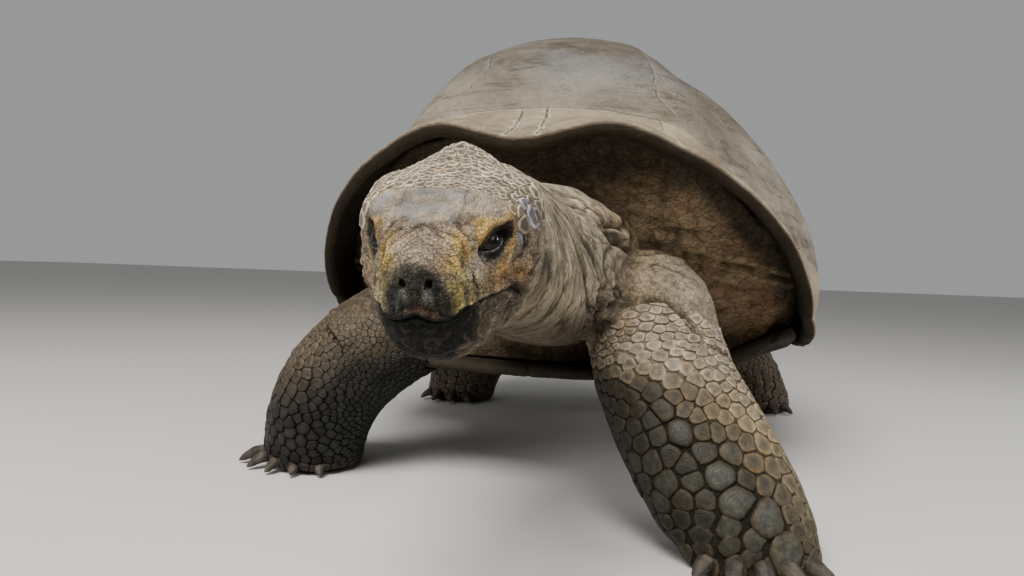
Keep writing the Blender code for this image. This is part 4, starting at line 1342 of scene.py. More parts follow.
def bodyTone(points, shares):
    q = points - shellMid
    x, y, z = q.T
    f3 = bodyFolded(points)[0]
    wide, mid, fine = fractal(q, 0.1, 3, 221), fractal(q, 0.03, 2, 222), noise(q, 0.009, 223)
    tone = np.tile(hideTones["hide"], (len(q), 1))
    paint = brushFor(tone)
    paint(smooth(wide, -0.1, 0.7) * 0.45, "taupe")
    neck = shares["neck"] + shares["head"] + shares["lower_jaw"]
    paint(neck * (0.5 + 0.35 * mid), "taupe")
    paint(neck * smooth(-y, 0.42, 0.66) * (0.85 + 0.3 * mid), "pale", 1.55)
    # Painted shade: the neck darker low down.
    paint(neck * smooth(0.318 - z, 0.0, 0.045) * 0.85, "brown", 0.9)
    trunk, leg, right = shares["trunk"], shares["foreleg_left"], shares["foreleg_right"]
    paint(trunk * 0.8, "rust", 2.4)
    paint(trunk * smooth(mid, -0.2, 0.5) * 0.75, "hide", 1.9)
    # A painted pool of light on the trunk and the neck in front of the shoulders.
    lit = bump(f3, (0.2, -0.44, 0.4), (0.1, 0.16, 0.045))
    paint((trunk + neck) * lit * (0.8 + 0.4 * mid), "sand", 1.5)
    cracks = bell(abs(noise(q, (0.034, 0.034, 0.024), 224)), 0.045) * smooth(noise(q, 0.05, 225), -0.2, 0.3)
    paint(trunk * cracks * 0.7, "pale", 0.9)
    # Painted shade on the trunk: low down, high up under the shell's rim, and out at its sides.
    paint(trunk * smooth(0.265 - z, 0.0, 0.05) * 0.85, "shade", 1.2)
    reach = abs(x)
    cave = smooth(z + 1.05 * np.maximum(reach - 0.23, 0) + 0.012 * mid, 0.44, 0.49)
    paint(trunk * cave * 0.85, "shade")
    paint(trunk * smooth(reach + 0.02 * mid, 0.34, 0.42) * 0.4, "shade", 6.0)
    # Painted light on the ridges beside the shoulder folds.
    chosen = np.flatnonzero((trunk + neck > 0.2) & (y < -0.2) & (z > 0.3) & (reach > 0.1))
    ridge = np.zeros(len(q))
    for line in foldForm["shoulderFolds"]:
        far = alongLine(f3[chosen], curveThrough(line, 4))[0]
        ridge[chosen] = np.maximum(ridge[chosen], bell(far - 0.0125, 0.0055))
    paint(ridge * (0.65 + 0.4 * mid), "sand", 1.15)
    # In the pocket's folds, painted light on the ridges and painted shade in the valleys.
    pocket = pocketShare(f3)
    ridge = folds(f3, (0.018, 0.04, 0.013), 123)[0]
    paint(pocket * (1 - leg) * smooth(ridge, 0.0, 0.4) * 0.8, "taupe", 0.85)
    paint(pocket * (1 - leg) * smooth(-ridge, 0.0, 0.35) * 0.8, "shade")
    paint(leg * 0.55, "hide", 1.05)
    outer = smooth(x - 0.55 * (0.3 - z), 0.175, 0.26)
    paint(leg * outer * (0.7 + 0.3 * mid), "taupe", 1.0 - 0.55 * smooth(0.2 - z, 0.0, 0.14))
    # Painted shade on the left foreleg's inner side: brown low down, then the shade tone.
    paint(leg * (1 - outer) * smooth(0.27 - z, 0.02, 0.14) * 0.65, "brown")
    down = 0.3 - z
    within = 1 - smooth(x - 0.62 * down + 0.01 * mid - 0.05 * smooth(down, 0.1, 0.2), 0.105, 0.225)
    paint(leg * within * smooth(down, 0.01, 0.12) * 0.95, "shade", 0.75)
    paint(leg * smooth(down, -0.02, 0.01) * falling(down, 0.07, 0.1) * 0.5, "taupe", 1.3)
    tone *= (1 - (leg * smooth(down, 0.05, 0.15))[:, None] * [0, 0.05, 0.27])
    dome = leg * smooth(z, 0.285, 0.305)
    paint(dome * 0.8, "taupe", 1.1)
    paint(dome * falling(x, 0.15, 0.215) * (0.8 + 0.4 * mid), "sand", 0.75)
    # The right foreleg is painted darker than the left one: painted shade, stronger on its inner side and low
    # down; only its top is lighter.
    paint(right * 0.8, "brown", 0.85)
    paint(right * smooth(z, 0.21, 0.27) * (0.4 + 0.4 * mid), "hide", 0.85)
    low = smooth(0.225 - z + 0.35 * (x + 0.3), -0.01, 0.1)
    paint(right * smooth(x, -0.335, -0.245) * smooth(0.24 - z, 0.0, 0.07) * 0.88, "shade", 0.8)
    paint(right * low * 0.98, "shade", 0.12)
    # Hind legs and tail a darker brown, partly painted shade.
    rear = shares["hindleg_left"] + shares["hindleg_right"] + shares["tail"]
    paint(rear * 0.75, "brown", 0.75)
    foot = (leg + right + rear) * smooth(0.03 - z, 0.0, 0.03)
    paint(foot * 0.5, "brown", 1.2)
    return tone * (1 + 0.1 * fine + 0.16 * wide)[:, None]


def skinFlow(points, shares):
    # Places drawn out along the way the fine lines run, for the material.
    q, side = bodyFolded(points)
    h = inHead(points)
    flow = q + side[:, None] * [0, 3.0, 0]
    dy, dz = q[:, 1] - foldForm["fan"][0], foldForm["fan"][1] - q[:, 2]
    fan = columns(0.2 * np.arctan2(dz, dy), 0.14 * np.hypot(dy, dz), side * 2.0)
    body = shares["neck"] + smooth(-h[:, 0], 0.068, 0.08) * (shares["head"] + shares["lower_jaw"])
    flow = np.where((body > 0.5)[:, None], fan, flow)
    flow = np.where((shares["trunk"] > 0.5)[:, None], q * [0.5, 0.5, 1.0] + side[:, None] * [0, 5.0, 0], flow)
    lips = (body <= 0.5) & (h[:, 0] > 0.005) & (h[:, 2] < -0.006) & (shares["head"] > 0.5)
    snout = (body <= 0.5) & (h[:, 0] > 0.012) & (h[:, 2] >= -0.006) & (abs(h[:, 1]) < 0.034)
    snout &= shieldShare(h) < 0.5
    flow = np.where(snout[:, None], h * [1.0, 0.16, 1.0], flow)
    return np.where(lips[:, None], h * [1.0, 1.0, 0.22], flow)


def skinTone(points, shares):
    tone = bodyTone(points, shares)
    onHead = (shares["head"] + shares["lower_jaw"]) * smooth(inHead(points)[:, 0], -0.125, -0.095)
    chosen = np.flatnonzero(onHead > 0.01)
    tone[chosen] = mix(tone[chosen], headTone(points[chosen]), smooth(onHead[chosen], 0.2, 0.75)[:, None])
    return np.clip(tone, 0.002, 0.9)


def bareness(points, shares):
    # 1 where no scale piece covers the skin.
    q, h = points - shellMid, inHead(points)
    legs = sum(shares[n] for n in fleshNodes[4:])
    return 1 - legs * falling(q[:, 2], 0.24, 0.3) - 0.6 * shares["head"] * smooth(-h[:, 0], 0.0, 0.02)


def keepUnderShell(points, trunk, shell):
    # No fold of the trunk comes out through the shell's wall.
    tree = surfaceTree(shell.data)
    q = points - shellMid
    nearRim = np.hypot(q[:, 0] / 0.38, q[:, 1] / 0.5) > 1
    for k in np.flatnonzero((trunk > 0.05) & (q[:, 1] > -0.42) & (q[:, 2] > 0.2) & nearRim):
        out = Vector((q[k, 0], q[k, 1], 0)).normalized()
        place = Vector(points[k])
        if tree.ray_cast(place, out)[0] is None:
            wall = tree.ray_cast(place, -out)
            if wall[0] is not None and wall[3] < skinForm["wallReach"]:
                points[k] = wall[0] - out * skinForm["wallInset"]
    return points


def makeSkin(shell):
    mesh = makeBaseSkin()
    shares = {n: readValues(mesh, "on_" + n) for n in fleshNodes}
    points, normals = placesOf(mesh), normalsOf(mesh)
    inset = skinForm["swell"] + skinForm["coatDepth"] * (1 - held(bareness(points, shares)))
    lift, dark = skinRelief(points, shares)
    points = openEyes(points + normals * (lift - inset)[:, None])
    points = keepUnderShell(boreNostrils(points), shares["trunk"], shell)
    setPlaces(mesh, points)
    base = skinTone(points, shares)
    # Painted shade in the relief's creases and valleys, weaker on the trunk.
    tone = mix(base, base * 0.16, (dark * (1 - 0.45 * shares["trunk"]))[:, None])
    q, h = points - shellMid, inHead(points)
    crestGap = shares["head"] * smooth(-h[:, 0], 0.004, 0.016) * smooth(h[:, 2], 0.0, 0.02)
    brushFor(tone)(crestGap * 0.7, "pale", 1.15)
    # Painted shade on the skin under the leg scales, seen in the gaps between them.
    covered = sum(shares[n] for n in fleshNodes[4:8]) * falling(q[:, 2], 0.2, 0.26)
    tone *= (1 - 0.45 * held(covered))[:, None]
    writeValues(mesh, "tone", withAlpha(tone), "FLOAT_COLOR")
    face = held(shares["head"] + shares["lower_jaw"])
    writeValues(mesh, "face", face)
    writeValues(mesh, "grainy", face * (1 - 0.75 * shieldShare(h)))
    writeValues(mesh, "flow", skinFlow(points, shares), "FLOAT_VECTOR")
    roots = {"points": points, "normals": normalsOf(mesh), "shares": shares, "tone": base}
    print("skin: relief and markings done")
    for name in fleshNodes:
        mesh.attributes.remove(mesh.attributes["on_" + name])
    mesh = lighter(mesh, min(1.0, skinForm["maxTriangles"] / triangles(mesh)))
    return finishPiece("skin", mesh, skinHide(), "grey_brown_skin", *fleshNodes), roots


def boreNostrils(points):
    h = inHead(points)
    form = headForm
    m = abs(h[:, 1])
    r = np.hypot((m - form["nostril"][0]) / form["nostrilSize"][0],
                 (h[:, 2] - form["nostril"][1]) / form["nostrilSize"][1])
    near = h[:, 0] > 0.048
    hole = near * falling(r, 0.7, 1.1)
    rim = near * bell(r - 1.45, 0.35)
    back = -headForward * form["nostrilDeep"]
    return points + hole[:, None] * back + rim[:, None] * headForward * 0.0006


skinLook = {"pebble": 260.0, "wrinkle": 190.0, "facePebble": 330.0, "web": 85.0,
            "wander": (0.006, 0.006, 0.006), "flowLines": ((120.0, 0.022), (330.0, 0.03))}


def skinHide():
    material, look, place = newMaterial("wrinkled_hide"), skinLook, objectPlace()
    face, grainy, flow = attribute("face"), attribute("grainy"), attribute("flow", "Vector")
    patchy = ranged(noiseValue(place, 55.0, 8, 0.68), 0.3, 0.72, (0.62, 1.3))
    colour = dimmed(attribute("tone", "Color"), patchy)
    fine = noiseValue(place, 340.0, 5, 0.7)
    colour = darkened(colour, ranged(fine, 0.52, 0.75, (0.0, 0.65)), (0.4, 0.34, 0.28))
    dust = noiseValue(place, 17.0, 6, 0.65)
    colour = darkened(colour, ranged(dust, 0.52, 0.78, (0.0, 0.5)), (1.7, 1.65, 1.6))
    # Pebbles over the whole skin, grains on the face
    wander = node("ShaderNodeTexNoise", {"Vector": place, "Scale": 60.0, "Detail": 2.0}).outputs["Color"]
    wander = node("ShaderNodeVectorMath", {0: wander, 1: look["wander"]}, operation="MULTIPLY").outputs[0]
    warped = node("ShaderNodeVectorMath", {0: place, 1: wander}, operation="ADD").outputs[0]
    pebbles, grains = cellEdges(warped, look["pebble"], 0.9), cellEdges(warped, look["facePebble"])
    crumbs = times(ranged(grains, 0.0, 0.11, (0.8, 0.0)), plus(times(grainy, 0.6), 0.4))
    colour = darkened(colour, crumbs, (0.34, 0.28, 0.24))
    # Fine lines along the flow, and a web of creases off the face, both darkened as painted shade in the creases
    broad, narrow = (ranged(mathed("ABSOLUTE", minus(noiseValue(flow, scale, 4, 0.6), 0.5)), 0.0, wide)
                     for scale, wide in look["flowLines"])
    lines = plus(times(broad, 0.65), times(narrow, 0.35))
    plain = minus(1.0, minus(face, times(grainy, 0.35)))
    colour = darkened(colour, times(minus(1.0, lines), plain), (0.46, 0.4, 0.34))
    webs = ranged(cellEdges(flow, look["web"]), 0.0, 0.1, (1.0, 0.0))
    webs = times(webs, minus(1.0, face))
    colour = darkened(colour, times(webs, 0.65), (0.4, 0.35, 0.3))
    normal = bumped(noiseValue(place, look["wrinkle"], 6, 0.62), 0.0022, 0.8)
    for height, distance, strength in ((ranged(pebbles, 0.0, 0.3), 0.0009, 0.7),
                                       (times(ranged(grains, 0.0, 0.3), grainy), 0.0009, 0.8),
                                       (times(lines, plain), 0.0014, 0.8), (webs, 0.0012, -0.8)):
        normal = bumped(height, distance, strength, normal)
    return dressed(material, colour, ranged(fine, 0.3, 0.7, (0.58, 0.8)), 0.16, normal)


# ---- scales ----
limbLines = {
    "foreleg_left": ((0.168, -0.44, 0.33), (0.174, -0.52, 0.29), (0.194, -0.56, 0.212),
                     (0.229, -0.592, 0.15), (0.266, -0.618, 0.092), (0.298, -0.636, 0.038),
                     (0.31, -0.642, -0.01)),
    "foreleg_right": ((-0.13, -0.33, 0.265), (-0.205, -0.405, 0.25), (-0.275, -0.435, 0.208),
                      (-0.328, -0.44, 0.156), (-0.364, -0.43, 0.1), (-0.384, -0.414, 0.05),
                      (-0.39, -0.402, -0.01)),
    "hindleg_left": ((0.19, 0.27, 0.215), (0.245, 0.335, 0.195), (0.305, 0.392, 0.158),
                     (0.358, 0.434, 0.108), (0.39, 0.456, 0.055), (0.404, 0.465, -0.01)),
    "hindleg_right": ((-0.18, 0.265, 0.215), (-0.232, 0.29, 0.195), (-0.284, 0.305, 0.158),
                      (-0.322, 0.306, 0.108), (-0.342, 0.302, 0.055), (-0.348, 0.3, -0.01)),
    "tail": ((0.000, 0.4, 0.255), (0.000, 0.48, 0.24), (0.006, 0.545, 0.19), (0.014, 0.575, 0.13),
             (0.018, 0.59, 0.07)),
    "head": ((0.04, -1.12, 0.32), (0.04, -0.9, 0.38)),
}
# The line of great knobs down the front of the left foreleg, and their widths at its ends
knobLine = ((0.176, -0.645, 0.22), (0.205, -0.663, 0.177), (0.25, -0.684, 0.125), (0.297, -0.694, 0.08),
            (0.345, -0.69, 0.04))
knobWidths = (0.021, 0.046)


def scaleRules(name, points):
    # For each point: may a scale root there, its width, height, flattening along the limb, slate and knob share.
    q, h = points - shellMid, inHead(points)
    x, y, z = q.T
    one, none = np.ones(len(q)), np.zeros(len(q))
    lumps = noise(q, 0.035, 301)
    if name == "foreleg_left":
        aside = np.maximum(abs(x - 0.182) - 0.012, 0) / np.where(x > 0.182, 0.085, 0.045)
        top = np.where(y < -0.5, 0.245 + 0.059 * np.exp(-aside ** 2), 0.245)
        below = top - z
        keep = (below > 0.004) & (z > 0.01)
        outer = smooth(x - 0.55 * (0.3 - z), 0.185, 0.26)
        inner = 1 - smooth(x - 0.55 * (0.3 - z), 0.085, 0.15)
        width = mix(0.0165, 0.0205, smooth(below, 0.02, 0.1)) * (1 + 0.22 * lumps)
        width = width * (1 + 0.25 * inner * smooth(below, 0.1, 0.16))
        height = 0.0024 * (1 - 0.45 * outer) * (1 - 0.35 * inner)
        stretch = mix(1.75, 1.0, smooth(below, 0.015, 0.085))
        far, share = alongLine(q, curveThrough(knobLine, 4))
        knob = mix(knobWidths[0], knobWidths[1], share ** 1.4)
        onLine = falling(far, 0.16 * knob, 0.36 * knob) * smooth(share, 0.02, 0.12)
        width = mix(width, knob, onLine)
        height = mix(height, 0.003 + 0.0032 * share, onLine)
        slate = 0.05 + 0.95 * onLine * smooth(share, 0.15, 0.5)
        slate = slate + 0.4 * smooth(lumps, 0.15, 0.5) * (1 - outer)
        keep &= alongLine(q, curveThrough(foldForm["leftCrease"], 4))[0] > 0.0085
        return keep, width, height, stretch, slate, onLine
    if name == "foreleg_right":
        keep = (z > 0.01) & (z < 0.265) & ((y < -0.3) | (z < 0.2))
        outer = smooth(-x, 0.27, 0.36)
        low = smooth(0.235 - z, -0.01, 0.03)
        width = mix(0.0085, mix(0.01, 0.02, outer), low) * (1 + 0.22 * lumps)
        height = mix(0.0009, mix(0.0014, 0.0028, outer), low)
        keep &= alongLine(q, curveThrough(foldForm["rightCrease"], 4))[0] > 0.0045
        return keep, width, height, mix(1.4, 1.0, low), 0.15 + 0.25 * smooth(lumps, 0.1, 0.5), none
    if name in ("hindleg_left", "hindleg_right"):
        keep = (z > 0.01) & (z < 0.185)
        width = mix(0.0235, 0.0175, smooth(z, 0.05, 0.15)) * (1 + 0.22 * lumps)
        return keep, width, 0.0022 * one, 1.15 * one, 0.15 + 0.2 * smooth(lumps, 0.1, 0.5), none
    if name == "tail":
        keep = (z < 0.235) & (y > 0.44)
        width = mix(0.01, 0.0165, smooth(z, 0.1, 0.22)) * (1 + 0.15 * lumps)
        return keep, width, 0.0013 * one, 1.3 * one, 0.1 * one, none
    folded = foldedHead(h)
    f, _, u = folded.T
    off = slitPlace(h)[3]
    crest = smooth(u, 0.026, 0.034)
    keep = ((f < -0.004) & (f > -0.118) & (u > -0.026) & (shieldShare(h) < 0.02)
            & (shieldShare(h + [0.003, 0, 0]) < 0.5) & (off > 0.015) & (u > 0.006))
    bigger = bump(folded, (-0.032, 0.067, 0.02), 0.009) + bump(folded, (-0.018, 0.065, 0.006), 0.006)
    width = mix(0.0098, 0.0074, crest) * (1 + 0.42 * noise(h, 0.014, 302)) * (1 + 0.55 * held(bigger))
    height = 0.0019 + 0.0006 * held(bigger)
    return keep, width, height, one, none, held(bigger) * 0.5


def limbFrame(name, points):
    # Share along the limb's line, angle round it and the line's direction there.
    line = curveThrough(np.array(limbLines[name]), 5) + shellMid
    _, share = alongLine(points, line)
    at = np.clip(share * (len(line) - 1), 0, len(line) - 1.001)
    k = at.astype(int)
    t = (at - k)[:, None]
    ahead = unit(np.gradient(line, axis=0))
    direction = unit(mix(ahead[k], ahead[k + 1], t))
    centre = mix(line[k], line[k + 1], t)
    side = unit(np.cross(direction, [0.0, 0.9, 0.43] if name != "head" else [0, 0, 1.0]))
    other = np.cross(direction, side)
    away = points - centre
    angle = np.arctan2((away * other).sum(1), (away * side).sum(1))
    return share, angle, direction


def scaleCells(name, roots, directions=14):
    # Seeds spread by width, evened out, then each one's outline between its neighbours.
    rng = np.random.default_rng(sum(map(ord, name)))
    shares = roots["shares"]
    own = shares[name] + (shares["lower_jaw"] if name == "head" else 0)
    near = np.flatnonzero(own > 0.55)
    keep, width, height, stretch, slate, knob = scaleRules(name, roots["points"][near])
    near, width, height = near[keep], width[keep], height[keep]
    stretch, slate, knob = stretch[keep], slate[keep], knob[keep]
    points, normals = roots["points"][near], roots["normals"][near]
    share, angle, direction = limbFrame(name, points)
    length = lengths(np.diff(curveThrough(np.array(limbLines[name]), 5), axis=0)).sum()
    order = np.argsort(share)
    grown = np.zeros(len(share))
    grown[order] = np.cumsum(np.diff(share[order], prepend=share[order[0]]) * (stretch[order] - 1)) * length
    warped = points + direction * grown[:, None]
    tree = pointTree(warped)
    alive = np.ones(len(warped), bool)
    seeds = []
    for k in np.argsort(rng.random(len(warped)) - 2 * (knob > 0.75)):
        if alive[k]:
            seeds.append(int(k))
            for _, j, _ in tree.find_range(warped[k], float(width[k]) * 0.8):
                alive[j] = False
    for _ in range(3):
        middle = pointTree(warped[seeds])
        mine = np.empty(len(warped), int)
        for k, p in enumerate(warped):
            found = middle.find_n(p, 3)
            mine[k] = min(found, key=lambda item: item[2] / width[seeds[item[1]]])[1]
        count = np.maximum(np.bincount(mine, minlength=len(seeds)), 1)
        mean = np.stack([np.bincount(mine, warped[:, c], len(seeds)) / count for c in range(3)], axis=1)
        seeds = list(dict.fromkeys(tree.find(p)[1] for p in mean))
    seeds = np.array(seeds)
    middle = pointTree(warped[seeds])
    normal = unit(normals[seeds])
    along = unit(direction[seeds] - normal * (direction[seeds] * normal).sum(1, keepdims=True))
    across = np.cross(along, normal)
    turns = 2 * np.pi * (np.arange(directions) + 0.5) / directions
    reach = np.empty((len(seeds), directions))
    for k, s in enumerate(seeds):
        found = [item for item in middle.find_n(warped[s], 14) if item[1] != k and item[2] < 3.2 * width[s]]
        ids = np.array([item[1] for item in found], int)
        limit = np.full((1, directions), 0.62 * width[s])
        if len(ids):
            step = warped[seeds[ids]] - warped[s]
            flat = np.stack([step @ across[k], step @ along[k]], axis=1)
            far = lengths(step)
            aim = np.arctan2(flat[:, 1], flat[:, 0])
            part = width[s] / (width[s] + width[seeds[ids]])
            facing = np.cos(turns[None] - aim[:, None])
            bound = np.where(facing > 0.08, (part * far)[:, None] / np.maximum(facing, 0.08), 1.0)
            limit = np.concatenate([limit * 1.25, bound])
        reach[k] = (limit ** -18.0).sum(axis=0) ** (-1 / 18.0)
    return {"points": points[seeds], "normal": normal, "along": along, "across": across, "reach": reach,
            "turns": turns, "width": width[seeds], "height": height[seeds], "stretch": stretch[seeds],
            "slate": slate[seeds], "knob": knob[seeds], "share": share[seeds], "angle": angle[seeds],
            "tone": roots["tone"][near][seeds]}


scaleForm = {"gap": 0.0004, "sink": 0.0016, "grain": 0.00045, "patch": 0.003, "steps": (
    # share of the height, then how far the top is drawn in
    (0.58, 0.965), (0.3, 0.88), (0.12, 0.74))}


def scaleNodes():
    # Raises each flat outline to a scale: wall, shoulder, crown; closed below and slightly rough.
    group = bpy.data.node_groups.new("scale_builder", "GeometryNodeTree")
    group.interface.new_socket("Geometry", in_out="INPUT", socket_type="NodeSocketGeometry")
    group.interface.new_socket("Geometry", in_out="OUTPUT", socket_type="NodeSocketGeometry")
    for label in ("Sink", "Grain"):
        group.interface.new_socket(label, in_out="INPUT", socket_type="NodeSocketFloat")
    group.interface.new_socket("Material", in_out="INPUT", socket_type="NodeSocketMaterial")
    inHand["tree"] = group
    inputs, output = group.nodes.new("NodeGroupInput"), group.nodes.new("NodeGroupOutput")
    lift = node("GeometryNodeInputNamedAttribute", {"Name": "lift"}, data_type="FLOAT").outputs["Attribute"]
    crown = node("GeometryNodeInputNamedAttribute", {"Name": "crown"}, data_type="FLOAT").outputs["Attribute"]
    ring = node("GeometryNodeStoreNamedAttribute", {"Geometry": inputs.outputs["Geometry"], "Name": "ring",
                                                    "Value": 0.0}, data_type="FLOAT", domain="POINT")
    below = node("GeometryNodeFlipFaces", {"Mesh": ring.outputs[0]}).outputs[0]
    shape, top = ring.outputs[0], None
    for k, (share, draw) in enumerate(scaleForm["steps"] + ((0.0, 0.45),)):
        rise = times(lift, share)
        if k == 0:
            rise = plus(rise, inputs.outputs["Sink"])
        if k == len(scaleForm["steps"]):
            rise = times(lift, crown)
        wanted = {"Mesh": shape, "Offset Scale": rise, "Individual": True}
        if top is not None:
            wanted["Selection"] = top
        raised = node("GeometryNodeExtrudeMesh", wanted, mode="FACES")
        top = raised.outputs["Top"]
        drawn = node("GeometryNodeScaleElements", {"Geometry": raised.outputs["Mesh"], "Selection": top,
                                                   "Scale": draw}, domain="FACE")
        shape = node("GeometryNodeStoreNamedAttribute", {"Geometry": drawn.outputs[0], "Selection": top,
                                                         "Name": "ring", "Value": 0.25 * (k + 1)},
                     data_type="FLOAT", domain="POINT").outputs[0]
    whole = group.nodes.new("GeometryNodeJoinGeometry")
    group.links.new(shape, whole.inputs[0])
    group.links.new(below, whole.inputs[0])
    merged = node("GeometryNodeMergeByDistance", {"Geometry": whole.outputs[0], "Distance": 0.00002})
    place = group.nodes.new("GeometryNodeInputPosition").outputs[0]
    rough = minus(noiseValue(place, 260.0, 2.0), 0.5)
    rough = times(rough, inputs.outputs["Grain"])
    outward = group.nodes.new("GeometryNodeInputNormal").outputs[0]
    move = node("ShaderNodeVectorMath", {0: outward, "Scale": rough}, operation="SCALE").outputs[0]
    moved = node("GeometryNodeSetPosition", {"Geometry": merged.outputs[0], "Offset": move})
    shaded = node("GeometryNodeSetShadeSmooth", {"Geometry": moved.outputs[0]})
    real = node("GeometryNodeRealizeInstances", {"Geometry": shaded.outputs[0]})
    last = node("GeometryNodeSetMaterial",
                {"Geometry": real.outputs[0], "Material": inputs.outputs["Material"]})
    group.links.new(last.outputs[0], output.inputs[0])
    return group


def makeScales(name, roots, group, material, ground):
    cells = scaleCells(name, roots)
    form, count, spokes = scaleForm, len(cells["points"]), len(cells["turns"])
    rng = np.random.default_rng(7)
    reach = cells["reach"] - 0.5 * form["gap"] * (0.6 + 0.8 * rng.random((count, 1)))
    reach *= 1 + 0.025 * rng.standard_normal((count, spokes))
    flatX, flatY = reach * np.cos(cells["turns"]), reach * np.sin(cells["turns"]) / cells["stretch"][:, None]
    outline = (cells["points"][:, None] + cells["across"][:, None] * flatX[..., None]
               + cells["along"][:, None] * flatY[..., None])
    placed = np.empty_like(outline)
    for i in range(count):
        for j in range(spokes):
            found = ground.find_nearest(outline[i, j])
            placed[i, j] = found[0]
    sag = np.clip(((cells["points"] - placed.mean(axis=1)) * cells["normal"]).sum(1), 0, 0.004)
    placed -= cells["normal"][:, None] * form["sink"]
    faces = np.arange(count * spokes).reshape(count, spokes)
    mesh = meshFrom(name + "_outlines", placed.reshape(-1, 3), faces)
    size = np.sqrt((flatX ** 2 + flatY ** 2).mean(axis=1))
    small = smooth(size, 0.0012, 0.0045)
    lift = cells["height"] * (0.75 + 0.5 * rng.random(count)) * small + 0.6 * sag
    hollow = np.where(cells["knob"] > 0.5, 0.2, mix(-0.16, 0.1, rng.random(count)))
    writeValues(mesh, "lift", lift, domain="FACE")
    writeValues(mesh, "crown", hollow + 0.7 * sag / np.maximum(lift, 0.0003), domain="FACE")
    writeValues(mesh, "scale", np.repeat(np.arange(count), spokes))
    obj = addObject("outlines", mesh)
    modifier = obj.modifiers.new("scales", "NODES")
    modifier.node_group = group
    wanted = {"Sink": form["sink"], "Grain": form["grain"], "Material": material}
    for item in group.interface.items_tree:
        if item.in_out == "INPUT" and item.name in wanted:
            modifier[item.identifier] = wanted[item.name]
    result = realised(obj, mesh)

    k = np.clip(np.round(readValues(result, "scale")).astype(int), 0, count - 1)
    ring = readValues(result, "ring")
    local = placesOf(result) - cells["points"][k]
    flat = np.stack([(local * cells["across"][k]).sum(1), (local * cells["along"][k]).sum(1)], axis=1)
    root = np.stack([cells["angle"] / (2 * np.pi) + 0.5, cells["share"]], axis=1) * 0.98 + 0.01
    uv = root[k] + flat / cells["width"][k][:, None] * form["patch"]
    layer = result.uv_layers.new(name="OFBake")
    corners = np.empty(len(result.loops), dtype=np.int32)
    result.loops.foreach_get("vertex_index", corners)
    layer.data.foreach_set("uv", np.ascontiguousarray(uv[corners], dtype=np.float32).ravel())

    steel, slate = np.array(hideTones["steel"]), np.array(hideTones["slate"])
    base = cells["tone"] * (0.82 + 0.36 * rng.random((count, 1)))
    toSlate = held(cells["slate"] + 0.35 * (rng.random(count) - 0.5))[:, None]
    centre = mix(base * 0.66, slate * 0.85, toSlate * 0.88)
    rim = mix(base * 1.36, base * 1.1 + 0.03 * steel, toSlate * 0.5)
    if name == "head":
        blue = smooth(cells["knob"], 0.3, 0.48)[:, None]
        centre, rim = mix(base * 0.31, steel * 0.6, blue), mix(base * 1.6, base * 1.3 + steel * 0.3, blue)
    # The foot of each scale's wall is darkened: painted shade in the gaps between scales.
    tone = mix(base[k] * 0.4, rim[k], smooth(ring, 0.05, 0.45)[:, None])
    tone = mix(tone, centre[k], smooth(ring, *((0.44, 0.76) if name == "head" else (0.45, 0.95)))[:, None])
    writeValues(result, "tone", withAlpha(np.clip(tone, 0.003, 0.9)), "FLOAT_COLOR")
    return finishPiece("scales_" + name, result, material, "grey_brown_skin")


def scaleHorn():
    material, place = newMaterial("scale_horn"), objectPlace()
    patchy = ranged(noiseValue(place, 130.0, 7, 0.68), 0.3, 0.72, (0.52, 1.42))
    colour = dimmed(attribute("tone", "Color"), patchy)
    fine = noiseValue(place, 520.0, 4, 0.7)
    colour = darkened(colour, ranged(fine, 0.46, 0.72, (0.0, 0.75)), (0.42, 0.36, 0.3))
    colour = darkened(colour, ranged(noiseValue(place, 33.0, 5), 0.54, 0.75, (0.0, 0.65)), (1.3, 1.0, 0.62))
    rings = mathed("SINE", times(attribute("ring"), 34.0))
    normal = bumped(rings, 0.0003, 0.4, bumped(noiseValue(place, 300.0, 6, 0.65), 0.0012, 0.55))
    return dressed(material, colour, ranged(fine, 0.3, 0.7, (0.44, 0.66)), 0.22, normal)


# ---- plastron ----
def makePlastron():
    mesh = applied(joined([looseCopy("plastron")]), "REMESH", mode="VOXEL", voxel_size=0.005)
    points = relax(placesOf(mesh), edgesOf(mesh), 10)
    local = points - shellMid
    seam = abs(local[:, 0] + 0.004 * noise(points, 0.04, 5))
    for at in (-0.36, -0.25, -0.1, 0.08, 0.22, 0.34):
        across = abs(local[:, 1] - at - 0.06 * abs(local[:, 0]) + 0.006 * noise(points, 0.05, 6))
        seam = np.minimum(seam, across)
    setPlaces(mesh, points)
    groove = bell(seam, 0.0035)
    rings = np.sin(seam * 2 * np.pi / 0.009) * smooth(seam, 0.004, 0.015) * falling(seam, 0.03, 0.06)
    lift = -0.0016 * groove + 0.00025 * rings + 0.0012 * fractal(points, 0.07, 3, 9)
    setPlaces(mesh, points + normalsOf(mesh) * lift[:, None])
    writeValues(mesh, "groove", groove)
    # under darkens the whole plastron as painted shade.
    writeValues(mesh, "under", np.full(len(points), 0.98))
    mesh = lighter(mesh, 0.45)
    return finishPiece("plastron_plates", mesh, shellHorn(), "shell_horn", "plastron")


# ---- claws ----
clawCounts = {"foreleg_left": 5, "foreleg_right": 5, "hindleg_left": 4, "hindleg_right": 4}
clawForm = {"voxel": 0.0011, "ridges": 0.00025}


